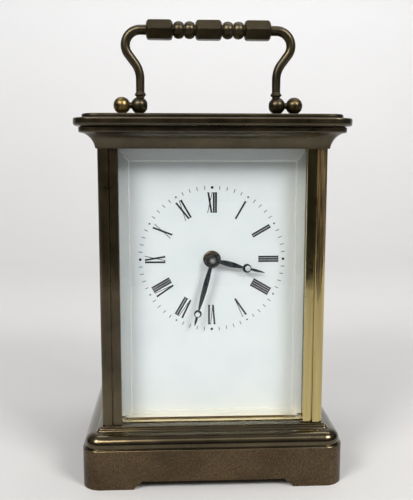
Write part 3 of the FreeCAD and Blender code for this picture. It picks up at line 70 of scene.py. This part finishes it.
class Surface:
    """One procedural material, with short calls for its nodes. Most functions below call theirs s."""

    def __init__(self, name, **constants):
        self.material = bpy.data.materials.new(name)
        self.material.use_nodes = True
        self.tree = self.material.node_tree
        self.shader = self.tree.nodes["Principled BSDF"]
        self.output = self.tree.nodes["Material Output"]
        self.place = self.tree.nodes.new("ShaderNodeTexCoord").outputs["Object"]
        for socket, value in constants.items():
            self.shader.inputs[socket.replace("_", " ")].default_value = value

    def node(self, kind, settings=None, **inputs):
        """A new node; settings are its own properties and inputs are values or sockets to link."""
        made = self.tree.nodes.new("ShaderNode" + kind)
        for key, value in (settings or {}).items():
            setattr(made, key, value)
        for key, value in inputs.items():
            socket = made.inputs[int(key[1:])] if key[0] == "_" else made.inputs[key.replace("_", " ")]
            self.feed(socket, value)
        return made

    def feed(self, socket, value):
        """Links a socket, or sets a constant, into an input."""
        if isinstance(value, bpy.types.NodeSocket):
            self.tree.links.new(value, socket)
        else:
            socket.default_value = value

    def set(self, socket, value):
        """Feeds an input of the material's shader, by its name."""
        self.feed(self.shader.inputs[socket], value)

    def noise(self, scale, detail=3.0, stretch=(1, 1, 1), roughness=0.5, distortion=0.0):
        """Noise over the piece; scale counts features per metre, stretch squeezes them along each axis."""
        spot = self.place
        if stretch != (1, 1, 1):
            spot = self.node("Mapping", Vector=self.place, Scale=stretch).outputs["Vector"]
        made = self.node("TexNoise", Vector=spot, Scale=scale, Detail=detail, Roughness=roughness,
                         Distortion=distortion)
        return made.outputs["Fac"]

    def ramp(self, value, *stops):
        """Colour ramp; stops are (position, colour)."""
        made = self.node("ValToRGB", Fac=value)
        set_stops(made.color_ramp, stops)
        return made.outputs["Color"]

    def math(self, operation, a, b=0.0):
        """Sum, product or other operation on one or two values."""
        return self.node("Math", {"operation": operation}, _0=a, _1=b).outputs[0]

    def range(self, value, low, high, to_low=0.0, to_high=1.0):
        """Linear change of a value's range, clamped."""
        made = self.node("MapRange", _0=value, _1=low, _2=high, _3=to_low, _4=to_high)
        return made.outputs[0]

    def mix(self, share, a, b):
        """Colour a blended towards colour b."""
        made = self.tree.nodes.new("ShaderNodeMix")
        made.data_type = "RGBA"
        for index, value in ((0, share), (6, a), (7, b)):
            if isinstance(value, tuple):
                value = (*value, 1)
            self.feed(made.inputs[index], value)
        return made.outputs[2]

    def axis(self, name):
        """Coordinate of the shaded point along X, Y or Z, in metres."""
        return self.node("SeparateXYZ", _0=self.place).outputs[name]

    def above(self, place, limit, blur):
        """0 where a coordinate is under the limit, 1 over it; limit and the soft edge's blur are in mm."""
        return self.range(place, (limit - blur / 2) * MM, (limit + blur / 2) * MM)

    def below(self, place, limit, blur):
        """1 where a coordinate is under the limit, 0 over it; limit and the soft edge's blur are in mm."""
        return self.range(place, (limit + blur / 2) * MM, (limit - blur / 2) * MM)

    def rounded(self, radius):
        """Normal with the sharp edges rounded by the radius in mm."""
        return self.node("Bevel", {"samples": 4}, Radius=radius * MM).outputs["Normal"]

    def edges(self, radius):
        """0 on flats, rising to 1 on sharp edges."""
        soft = self.rounded(radius)
        plain = self.node("NewGeometry").outputs["Normal"]
        along = self.node("VectorMath", {"operation": "DOT_PRODUCT"}, _0=soft, _1=plain).outputs["Value"]
        return self.range(along, 0.995, 0.80)

    def wear(self, least, most):
        """Share of worn metal along the edges, patchy between the two amounts."""
        patchy = self.range(self.noise(260, 3), 0.42, 0.62, least, most)
        return self.math("MULTIPLY", self.edges(0.35), patchy)

    def bump(self, height, distance, strength, normal=None):
        """Bump of the height's range over the distance in mm, on top of a normal."""
        made = self.node("Bump", Height=height, Strength=strength, Distance=distance * MM)
        if normal is not None:
            self.feed(made.inputs["Normal"], normal)
        return made.outputs["Normal"]

    def paint(self, *nodes):
        """Gives the material to CAD nodes."""
        for name in nodes:
            slots = NODES[name].data.materials
            if not slots:
                slots.append(self.material)
            for index in range(len(slots)):
                slots[index] = self.material


def patina_colour(s):
    """Dark olive-brown bronze, cloudy, with lighter brushed streaks."""
    cloud = s.noise(55, 4, distortion=0.6)
    streak = s.noise(900, 3, stretch=(1, 1, 0.06))
    base = s.ramp(cloud, (0.30, (0.048, 0.037, 0.019)), (0.52, (0.076, 0.059, 0.031)),
                  (0.74, (0.112, 0.087, 0.046)))
    return s.mix(s.range(streak, 0.45, 0.75, 0.0, 0.3), base, BRUSHED_BROWN)


def patina(name, rough=(0.26, 0.38), wear=0.5, coat=0.4, film=0.0):
    """Bronze under brown patina, lacquer and a share of dark film, worn a little brighter along its edges."""
    s = Surface(name, Metallic=1.0, Coat_Weight=coat, Coat_Roughness=0.08)
    worn = s.wear(0.3 * wear, wear)
    skin = s.mix(film, patina_colour(s), DARK_FILM)
    s.set("Base Color", s.mix(worn, skin, WORN_BRONZE))
    s.set("Roughness", s.range(s.noise(180, 5), 0.3, 0.7, *rough))
    s.set("Normal", s.bump(s.noise(2600, 2), 0.02, 0.25, s.rounded(EDGE_RADIUS)))
    return s


def base_bronze():
    """The base: polished mouldings, a matt face with fine gold speckle, and bare brass inside the glass."""
    s = Surface("base_bronze", Metallic=1.0, Coat_Roughness=0.06)
    face = s.below(s.axis("Z"), FACE_TOP, 0.2)
    clouds = s.noise(90, 4)
    grit = s.noise(1900, 2, roughness=0.7)
    fleck = s.math("MULTIPLY", s.range(grit, 0.42, 0.66), s.range(clouds, 0.30, 0.62, 0.5, 1.0))
    dull = s.ramp(clouds, (0.3, (0.052, 0.036, 0.021)), (0.7, (0.080, 0.055, 0.031)))
    matt = s.mix(fleck, dull, (0.165, 0.115, 0.060))
    worn = s.wear(0.1, 0.6)
    glossy = s.mix(worn, patina_colour(s), WORN_BRONZE)
    outside = s.mix(face, glossy, matt)
    bare = s.ramp(s.noise(500, 3), (0.3, (0.66, 0.54, 0.28)), (0.7, (0.78, 0.66, 0.38)))
    s.set("Base Color", s.mix(indoors(s), outside, bare))
    polished = s.range(s.noise(180, 5), 0.3, 0.7, 0.15, 0.24)
    matt_rough = 0.46
    s.set("Roughness", s.node("Mix", {"data_type": "FLOAT"}, _0=face, _2=polished, _3=matt_rough).outputs[0])
    s.set("Coat Weight", s.range(face, 0.0, 1.0, 0.4, 0.1))
    relief = s.math("MULTIPLY", grit, face)
    s.set("Normal", s.bump(relief, 0.08, 0.6, s.rounded(EDGE_RADIUS)))
    return s


def indoors(s):
    """1 inside the case: no further forward or back than the front pane, nor wider than the dial plate."""
    pane = -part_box("front_glass")[1].y / MM
    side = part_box("dial_plate")[1].x / MM
    under_pane = 0.05  # how far the bare brass runs under the front pane, in mm
    between_panes = s.below(s.math("ABSOLUTE", s.axis("Y")), pane + under_pane, 0.2)
    between_sides = s.below(s.math("ABSOLUTE", s.axis("X")), side, 0.2)
    over_flange = s.above(s.axis("Z"), FLANGE_LEVEL, 1.0)
    return s.math("MULTIPLY", s.math("MULTIPLY", between_panes, between_sides), over_flange)


def rubbed_pillar():
    """Front right pillar: rubbed to bright brass; high on its outer strip, brown-gold streaks of left-over
    patina and a painted reflection of the dark room.
    """
    s = Surface("rubbed_pillar", Metallic=1.0)
    streaks = s.noise(700, 3, stretch=(2.0, 2.0, 0.05))
    raggedness = 90 * MM
    ragged = s.math("MULTIPLY", s.math("SUBTRACT", streaks, 0.5), raggedness)
    level = s.math("ADD", s.axis("Z"), ragged)
    outer = s.above(s.axis("X"), GROOVE_X, 0.3)
    # above about 66 mm on the outer strip: patina left in streaks, and a painted reflection of the dark room
    # in brown-gold streaks
    brown_from, brown_full, most_brown = 66 * MM, 82 * MM, 0.92
    patina_and_reflection = s.math("MULTIPLY", s.range(level, brown_from, brown_full, 0.0, most_brown), outer)
    grain = s.noise(700, 3, stretch=(1, 1, 0.05))
    brass_tone = s.ramp(grain, (0.3, (0.42, 0.34, 0.145)), (0.7, (0.54, 0.44, 0.20)))
    streak = s.noise(2400, 2, stretch=(1, 1, 0.03))
    brown = s.ramp(streak, (0.40, (0.060, 0.042, 0.022)), (0.60, (0.33, 0.22, 0.105)))
    s.set("Base Color", s.mix(patina_and_reflection, brass_tone, brown))
    polished = s.range(s.noise(300, 4), 0.3, 0.7, 0.06, 0.15)
    s.set("Roughness", s.math("ADD", polished, s.math("MULTIPLY", patina_and_reflection, 0.3)))
    s.set("Normal", s.rounded(EDGE_RADIUS))
    return s


def rubbed_balls():
    """Handle posts: patina, with the left one rubbed to brass."""
    s = Surface("rubbed_balls", Metallic=1.0)
    rub = s.noise(330, 1)
    left = s.below(s.axis("X"), 0, 2)
    share = s.math("MULTIPLY", left, s.range(rub, 0.38, 0.60))
    share = s.math("MAXIMUM", share, s.range(rub, 0.58, 0.70, 0.0, 0.35))
    s.set("Base Color", s.mix(share, patina_colour(s), (0.36, 0.25, 0.09)))
    s.set("Roughness", s.range(s.noise(600, 3), 0.3, 0.7, 0.28, 0.42))
    return s


def brass(name, colour, other, rough=(0.18, 0.32), stretch=(1, 1, 1), scale=900):
    """Gilt brass with fine graining."""
    s = Surface(name, Metallic=1.0)
    grain = s.noise(scale, 4, stretch=stretch)
    s.set("Base Color", s.ramp(grain, (0.3, colour), (0.7, other)))
    s.set("Roughness", s.range(s.noise(300, 3), 0.3, 0.7, *rough))
    s.set("Normal", s.bump(grain, 0.004, 0.15, s.rounded(0.1)))
    return s


def steel(name, dark, light, rough=(0.15, 0.30)):
    """Steel, polished or blued, with light cloudiness."""
    s = Surface(name, Metallic=1.0)
    s.set("Base Color", s.ramp(s.noise(350, 4), (0.3, dark), (0.7, light)))
    s.set("Roughness", s.range(s.noise(800, 3), 0.3, 0.7, *rough))
    s.set("Normal", s.rounded(0.08))
    return s


def enamel():
    """White glazed dial with a faint mottling."""
    s = Surface("dial_enamel", Coat_Weight=0.3, Coat_Roughness=0.1)
    white = s.ramp(s.noise(90, 4), (0.3, (0.70, 0.745, 0.775)), (0.7, (0.75, 0.785, 0.805)))
    s.set("Base Color", white)
    s.set("Roughness", s.range(s.noise(400, 3), 0.3, 0.7, 0.38, 0.5))
    return s


def ink():
    """Printed black, a little uneven."""
    s = Surface("dial_ink", Specular_IOR_Level=0.15)
    black = s.ramp(s.noise(2200, 3), (0.3, (0.0015, 0.002, 0.003)), (0.7, (0.005, 0.006, 0.009)))
    s.set("Base Color", black)
    s.set("Roughness", s.range(s.noise(900, 3), 0.3, 0.7, 0.4, 0.6))
    return s


def inset(s, node, axis):
    """Distance in metres from the nearer of a pane's two bevels along an axis, below 0 on the bevel."""
    low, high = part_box(node)
    index = "XYZ".index(axis)
    place = s.axis(axis)
    near = s.math("SUBTRACT", place, low[index] + BEVEL)
    far = s.math("SUBTRACT", high[index] - BEVEL, place)
    return s.math("MINIMUM", near, far)


def crease(s, distance, width):
    """1 on a line where the distance is 0, falling to 0 over the width in mm."""
    return s.range(s.math("ABSOLUTE", distance), width * MM, 0.3 * width * MM)


def clear_glass(name, node, across):
    """Clear pane, with a painted highlight, a light line along the inner edge and mitres of its ground bevel,
    and painted shade on the bevel.

    The line fits upright panes. It lies 0.6 mm inside the narrower bevel of the rear door's pane, and the
    top pane, which lies flat, takes the bevel's painted shade all over. Shadow and diffuse rays pass
    straight through, so the lamps shine on what is behind a pane.
    """
    s = Surface(name, IOR=1.5, Specular_IOR_Level=0.10)
    sideways = inset(s, node, across)
    upright = inset(s, node, "Z")
    inwards = s.math("MINIMUM", sideways, upright)
    bevelled = s.range(inwards, 0.05 * MM, -0.05 * MM)
    mitre = s.math("MULTIPLY", bevelled, crease(s, s.math("SUBTRACT", sideways, upright), 0.4))
    # painted highlight: a light line along the bevel's inner edge and along its mitres
    bevel_highlight = s.math("MAXIMUM", crease(s, inwards, 0.22), mitre)
    # faint green tint of the glass, with painted shade on the bevel
    glass_tint_and_bevel_shade = s.mix(bevelled, (0.992, 1.0, 0.996), (0.92, 0.935, 0.92))
    s.set("Base Color", s.mix(bevel_highlight, glass_tint_and_bevel_shade, (0.9, 0.9, 0.88)))
    s.set("Transmission Weight", s.range(bevel_highlight, 0.0, 1.0, 1.0, 0.87))
    s.set("Roughness", s.range(s.noise(35, 3), 0.55, 0.75, 0.0, 0.02))
    s.set("Normal", s.bump(s.noise(22, 1), 0.02, 0.15))
    rays = s.node("LightPath")
    through = s.math("MAXIMUM", rays.outputs["Is Shadow Ray"], rays.outputs["Is Diffuse Ray"])
    open_air = s.node("BsdfTransparent", Color=(0.965, 0.98, 0.975, 1))
    both = s.node("MixShader", _0=through, _1=s.shader.outputs[0], _2=open_air.outputs[0])
    s.tree.links.new(both.outputs[0], s.output.inputs["Surface"])
    return s


def paint_case():
    """Case, handle and glass."""
    patina("patina").paint("pillar_front_left", "pillar_rear_left", "pillar_rear_right", "rear_door_frame")
    patina("cornice_patina", film=0.25).paint("cornice_moulding")
    patina("top_patina", rough=(0.30, 0.42), wear=0.05, coat=0.05, film=0.5).paint("top_plate")
    patina("handle_patina", rough=(0.33, 0.45), wear=0.05, coat=0.12, film=0.35).paint(
        "handle_arm_left", "handle_arm_right", "handle_grip", "handle_pivot_pins")
    base_bronze().paint("base_moulding")
    rubbed_pillar().paint("pillar_front_right")
    rubbed_balls().paint("handle_posts")
    clear_glass("front_pane", "front_glass", "X").paint("front_glass")
    clear_glass("side_pane", "left_glass", "Y").paint("left_glass", "right_glass")
    clear_glass("rear_pane", "rear_door_glass", "X").paint("rear_door_glass")
    clear_glass("top_pane", "top_glass", "X").paint("top_glass")


def paint_dial_and_movement():
    """Dial plate, hands, wheels, plates and screws, and the door's brass parts."""
    enamel().paint("dial_plate")
    steel("bronzed_collar", (0.050, 0.040, 0.026), (0.085, 0.068, 0.044), (0.2, 0.3)).paint("dial_collar")
    brass("gilt_brass", (0.66, 0.47, 0.17), (0.78, 0.58, 0.25)).paint(
        "dial_feet", "plate_pillars", "barrel_cover", "barrel_drum", "centre_wheel", "third_wheel",
        "contrate_wheel", "minute_wheel", "hour_wheel", "balance_wheel", "escape_potence", "lever_bridge",
        "balance_cock", "cannon_pinion", "door_hinge_pins", "door_knob")
    brass("grained_plates", (0.62, 0.44, 0.16), (0.76, 0.57, 0.25), (0.26, 0.40), (1, 1, 0.04), 1500).paint(
        "movement_front_plate", "movement_back_plate", "platform_plate", "base_floor_plate")
    steel("blued_steel", (0.005, 0.010, 0.016), (0.012, 0.021, 0.032), (0.22, 0.34)).paint(
        "hour_hand", "minute_hand", "mainspring", "click_spring", "hairspring")
    steel("polished_steel", (0.40, 0.40, 0.40), (0.56, 0.56, 0.55)).paint(
        "case_screws", "movement_screws", "minute_wheel_stud", "barrel_arbor", "ratchet_wheel", "click",
        "centre_arbor", "third_arbor", "contrate_arbor", "escape_arbor", "escape_wheel", "pallet_fork",
        "balance_staff", "regulator")
    steel("hand_nut_steel", (0.09, 0.08, 0.065), (0.16, 0.145, 0.12), (0.10, 0.18)).paint("hand_nut")


# ---------------------------------------------------------------- printed dial

NUMERALS = ["XII", "I", "II", "III", "IIII", "V", "VI", "VII", "VIII", "IX", "X", "XI"]

# Sizes of the print in mm; radii are from the dial's centre.
NUMERAL_FOOT = 15.65
NUMERAL_HEAD = 22.4
LETTER_WIDTHS = {"I": 0.74, "V": 1.9, "X": 1.86}
THICK = 0.61
THIN = 0.22
SERIF = 0.22
OVERHANG = 0.08   # how far a serif reaches past its stroke
V_FOOT = 0.1      # how far right of the letter's middle the V's thin stroke starts
TRACK_RADIUS = 24.0
BAR_HALF_WIDTH = 0.11
BAR_REACH = 0.64  # half a minute bar's length
DOT_RADIUS = 0.30
QUARTER_DOT_RADIUS = 0.45
DOT_CORNERS = 20
PRINT_BACK = 0.008  # how far the print's back sits inside the glaze
INK_HEIGHT = 0.03   # how far a thick stroke, bar or dot stands on the glaze
THIN_INK = 0.027
SERIF_INK = 0.024


def dial_centre():
    """Point on the dial's front face where the hands turn."""
    low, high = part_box("dial_collar")
    return Vector((0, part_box("dial_plate")[0].y, (low.z + high.z) / 2))


def add_patch(mesh, corners, turn, raised):
    """Flat prism on the dial; corners are (across, outwards) in mm from the dial centre, turned clockwise."""
    sine, cosine = math.sin(turn), math.cos(turn)
    centre = dial_centre()
    layers = []
    for depth in (PRINT_BACK, -raised):
        layer = []
        for across, out in corners:
            x = across * cosine + out * sine
            z = -across * sine + out * cosine
            layer.append(mesh.verts.new(centre + millimetres(x, depth, z)))
        layers.append(layer)
    back, front = layers
    mesh.faces.new(front)
    mesh.faces.new(back[::-1])
    for i in range(len(corners)):
        j = (i + 1) % len(corners)
        mesh.faces.new((front[i], back[i], back[j], front[j]))


def stroke(foot_x, head_x, width):
    """Corners of a stroke from the numeral's foot to its head."""
    half = width / 2
    return [(foot_x - half, NUMERAL_FOOT), (foot_x + half, NUMERAL_FOOT),
            (head_x + half, NUMERAL_HEAD), (head_x - half, NUMERAL_HEAD)]


def serif(x, width, at_head):
    """Corners of the thin line across a stroke's end."""
    reach = width / 2 + OVERHANG
    low = NUMERAL_HEAD - SERIF if at_head else NUMERAL_FOOT
    return [(x - reach, low), (x + reach, low), (x + reach, low + SERIF), (x - reach, low + SERIF)]


def add_letter(mesh, letter, left, turn):
    """One letter of a numeral, from its left edge."""
    width = LETTER_WIDTHS[letter]
    middle = left + width / 2
    inner = width / 2 - OVERHANG - THICK / 2
    slim = width / 2 - OVERHANG - THIN / 2
    if letter == "I":
        lines = [(middle, middle, THICK)]
    elif letter == "V":
        lines = [(middle, middle - inner, THICK), (middle + V_FOOT, middle + slim, THIN)]
    else:
        lines = [(middle + inner, middle - inner, THICK), (middle - slim, middle + slim, THIN)]
    for foot_x, head_x, thickness in lines:
        raised = INK_HEIGHT if thickness == THICK else THIN_INK
        add_patch(mesh, stroke(foot_x, head_x, thickness), turn, raised)
        add_patch(mesh, serif(head_x, thickness, True), turn, SERIF_INK)
        if letter != "V":
            add_patch(mesh, serif(foot_x, thickness, False), turn, SERIF_INK)


def print_piece(name, mesh, material):
    """A printed layer of the dial as its own piece."""
    bmesh.ops.recalc_face_normals(mesh, faces=mesh.faces)
    data = bpy.data.meshes.new(name)
    mesh.to_mesh(data)
    mesh.free()
    data.materials.append(material)
    piece = bpy.data.objects.new(name, data)
    bpy.context.scene.collection.objects.link(piece)
    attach(piece, "case")


def minute_bar():
    """Corners of a minute's bar."""
    inner, outer = TRACK_RADIUS - BAR_REACH, TRACK_RADIUS + BAR_REACH
    left, right = -BAR_HALF_WIDTH, BAR_HALF_WIDTH
    return [(left, inner), (right, inner), (right, outer), (left, outer)]


def minute_dot(radius):
    """Corners of the round dot on every fifth minute."""
    angles = [corner * math.tau / DOT_CORNERS for corner in range(DOT_CORNERS)]
    return [(radius * math.cos(angle), TRACK_RADIUS + radius * math.sin(angle)) for angle in angles]


def print_dial():
    """Roman numerals, and the minute track of bars and dots round them."""
    black = ink().material
    numerals = bmesh.new()
    for hour, text in enumerate(NUMERALS):
        left = -sum(LETTER_WIDTHS[letter] for letter in text) / 2
        for letter in text:
            add_letter(numerals, letter, left, math.radians(30 * hour))
            left += LETTER_WIDTHS[letter]
    print_piece("dial_numerals", numerals, black)

    track = bmesh.new()
    for minute in range(60):
        turn = math.radians(6 * minute)
        if minute % 5:
            corners = minute_bar()
        elif minute % 15:
            corners = minute_dot(DOT_RADIUS)
        else:
            corners = minute_dot(QUARTER_DOT_RADIUS)
        add_patch(track, corners, turn, INK_HEIGHT)
    print_piece("dial_minute_track", track, black)


# ---------------------------------------------------------------- studio

def paper_sheet(name, profile, half, material):
    """Sheet of paper drawn along X over a profile of (y, z) in metres."""
    mesh = bmesh.new()
    rows = [[mesh.verts.new((x, y, z)) for x in (-half, half)] for y, z in profile]
    for (left, right), (next_left, next_right) in zip(rows, rows[1:]):
        mesh.faces.new((left, right, next_right, next_left)).smooth = True
    data = bpy.data.meshes.new(name)
    mesh.to_mesh(data)
    mesh.free()
    data.materials.append(material)
    sheet = bpy.data.objects.new(name, data)
    bpy.context.scene.collection.objects.link(sheet)
    return sheet


def sweep():
    """Pale paper sweep: table, curve and wall, and the plain floor on the viewer's side. Places in metres."""
    half_width = 1.6
    table_end, wall_y, wall_top, curve = -0.375, 0.75, 1.6, 0.35
    floor_end = -1.4
    curve_steps = 16
    profile = [(table_end, 0.0), (wall_y - curve, 0.0)]
    for step in range(1, curve_steps + 1):
        angle = step / curve_steps * math.pi / 2
        profile.append((wall_y - curve + curve * math.sin(angle), curve - curve * math.cos(angle)))
    profile.append((wall_y, wall_top))
    paper = sweep_paper()
    paper_sheet("paper_sweep", profile, half_width, paper)
    front = paper_sheet("paper_front", [(floor_end, 0.0), (table_end, 0.0)], half_width, paper)
    # The clock neither mirrors this part nor is lit by it.
    front.visible_glossy = False
    front.visible_diffuse = False


def sweep_paper():
    """Matt paper, with painted shade: greyer on the table, and greyer still towards the viewer, than up the
    wall.
    """
    paper = Surface("paper", Roughness=0.9)
    mottle = paper.noise(3, 2)
    # painted shade: the table is greyer than the same paper up the wall
    table = paper.ramp(mottle, (0.3, (0.585, 0.58, 0.575)), (0.7, (0.615, 0.61, 0.605)))
    wall = paper.ramp(mottle, (0.3, (0.77, 0.77, 0.775)), (0.7, (0.80, 0.80, 0.805)))
    # painted shade: the table darker still in front of the clock, towards the viewer
    near_from, near_full = -0.09, -0.3
    near_shade_share = paper.range(paper.axis("Y"), near_from, near_full)
    table = paper.mix(near_shade_share, table, (0.44, 0.435, 0.43))
    wall_full = 0.3
    wall_share = paper.range(paper.axis("Z"), 0.0, wall_full)
    paper.set("Base Color", paper.mix(wall_share, table, wall))
    return paper.material


def softbox(name, spot, target, size, power, colour=(1, 1, 1)):
    """Rectangular area lamp aimed at a point; places in metres."""
    lamp = bpy.data.lights.new(name, "AREA")
    lamp.shape = "RECTANGLE"
    lamp.size, lamp.size_y = size
    lamp.energy = power
    lamp.color = colour
    holder = bpy.data.objects.new(name, lamp)
    holder.location = spot
    holder.rotation_euler = (Vector(target) - Vector(spot)).to_track_quat("-Z", "Y").to_euler()
    bpy.context.scene.collection.objects.link(holder)
    return holder


def room_light():
    """Soft light of a room: bright ceiling, dim walls, and a pale surround where nothing else is seen."""
    world = bpy.data.worlds.new("room")
    bpy.context.scene.world = world
    world.use_nodes = True
    tree = world.node_tree
    link = tree.links.new
    background = tree.nodes["Background"]
    direction = tree.nodes.new("ShaderNodeTexCoord").outputs["Generated"]
    parts = tree.nodes.new("ShaderNodeSeparateXYZ")
    rise = tree.nodes.new("ShaderNodeMapRange")
    ramp = tree.nodes.new("ShaderNodeValToRGB")
    lowest, highest = -0.2, 1.0  # upward part of the direction at the ramp's two ends
    rise.inputs["From Min"].default_value = lowest
    rise.inputs["From Max"].default_value = highest
    link(direction, parts.inputs[0])
    link(parts.outputs["Z"], rise.inputs[0])
    link(rise.outputs[0], ramp.inputs[0])
    stops = [(0.0, 0.02), (0.17, 0.03), (0.32, 0.06), (0.50, 0.21), (0.8, 0.26), (1.0, 0.26)]
    set_stops(ramp.color_ramp, [(position, (grey, grey, grey * 1.02)) for position, grey in stops])
    pale = tree.nodes.new("ShaderNodeBackground")
    pale.inputs["Color"].default_value = (0.80, 0.80, 0.81, 1)
    seen = tree.nodes.new("ShaderNodeMixShader")
    rays = tree.nodes.new("ShaderNodeLightPath")
    link(ramp.outputs[0], background.inputs["Color"])
    link(rays.outputs["Is Camera Ray"], seen.inputs[0])
    link(background.outputs[0], seen.inputs[1])
    link(pale.outputs[0], seen.inputs[2])
    link(seen.outputs[0], tree.nodes["World Output"].inputs["Surface"])


def light_clock():
    """Two lamps in front, a soft ceiling, a wash on the wall, and two lamps that only show in reflections."""
    room_light()
    clock = (0, 0, 0.07)
    softbox("ceiling", (0.0, 0.1, 1.3), (0, 0, 0), (1.6, 1.4), 1.5)
    for side, name in ((-1, "left_lamp"), (1, "right_lamp")):
        softbox(name, (side * 0.60, -0.72, 0.76), clock, (0.38, 0.38), 8.8, (1, 0.985, 0.97))
    softbox("back_wash", (0.15, 0.1, 0.8), (0.25, 0.75, 0.1), (0.8, 0.3), 2.8)
    glint = softbox("left_glint", (-0.25, -0.95, 0.85), (0, 0, 0.04), (0.17, 0.22), 4.0, (1, 0.90, 0.84))
    glint.visible_diffuse = False
    glow = softbox("front_glow", (0.0, -1.0, 1.05), clock, (0.9, 0.3), 1.2, (1, 0.98, 0.96))
    glow.visible_diffuse = False


def place_camera():
    """Camera at the viewer's place, looking slightly down and to the right."""
    yaw, pitch, roll = (math.radians(angle) for angle in (2.8676, 7.8760, 0.0669))
    forward = Vector((math.sin(yaw) * math.cos(pitch), math.cos(yaw) * math.cos(pitch), -math.sin(pitch)))
    level = Vector((math.cos(yaw), -math.sin(yaw), 0))
    upright = level.cross(forward)
    right = level * math.cos(roll) + upright * math.sin(roll)
    up = upright * math.cos(roll) - level * math.sin(roll)
    camera = bpy.data.objects.new("camera", bpy.data.cameras.new("camera"))
    camera.data.lens = 50.10
    camera.data.sensor_width = 36.0
    camera.data.clip_start = 0.01
    turn = Matrix((right, up, -forward)).transposed()
    camera.matrix_world = Matrix.Translation(millimetres(-13.39, -254.50, 109.41)) @ turn.to_4x4()
    bpy.context.scene.collection.objects.link(camera)
    bpy.context.scene.camera = camera


place_camera()
sweep()
light_clock()
paint_case()
paint_dial_and_movement()
print_dial()
bpy.context.scene.view_settings.view_transform = "Standard"
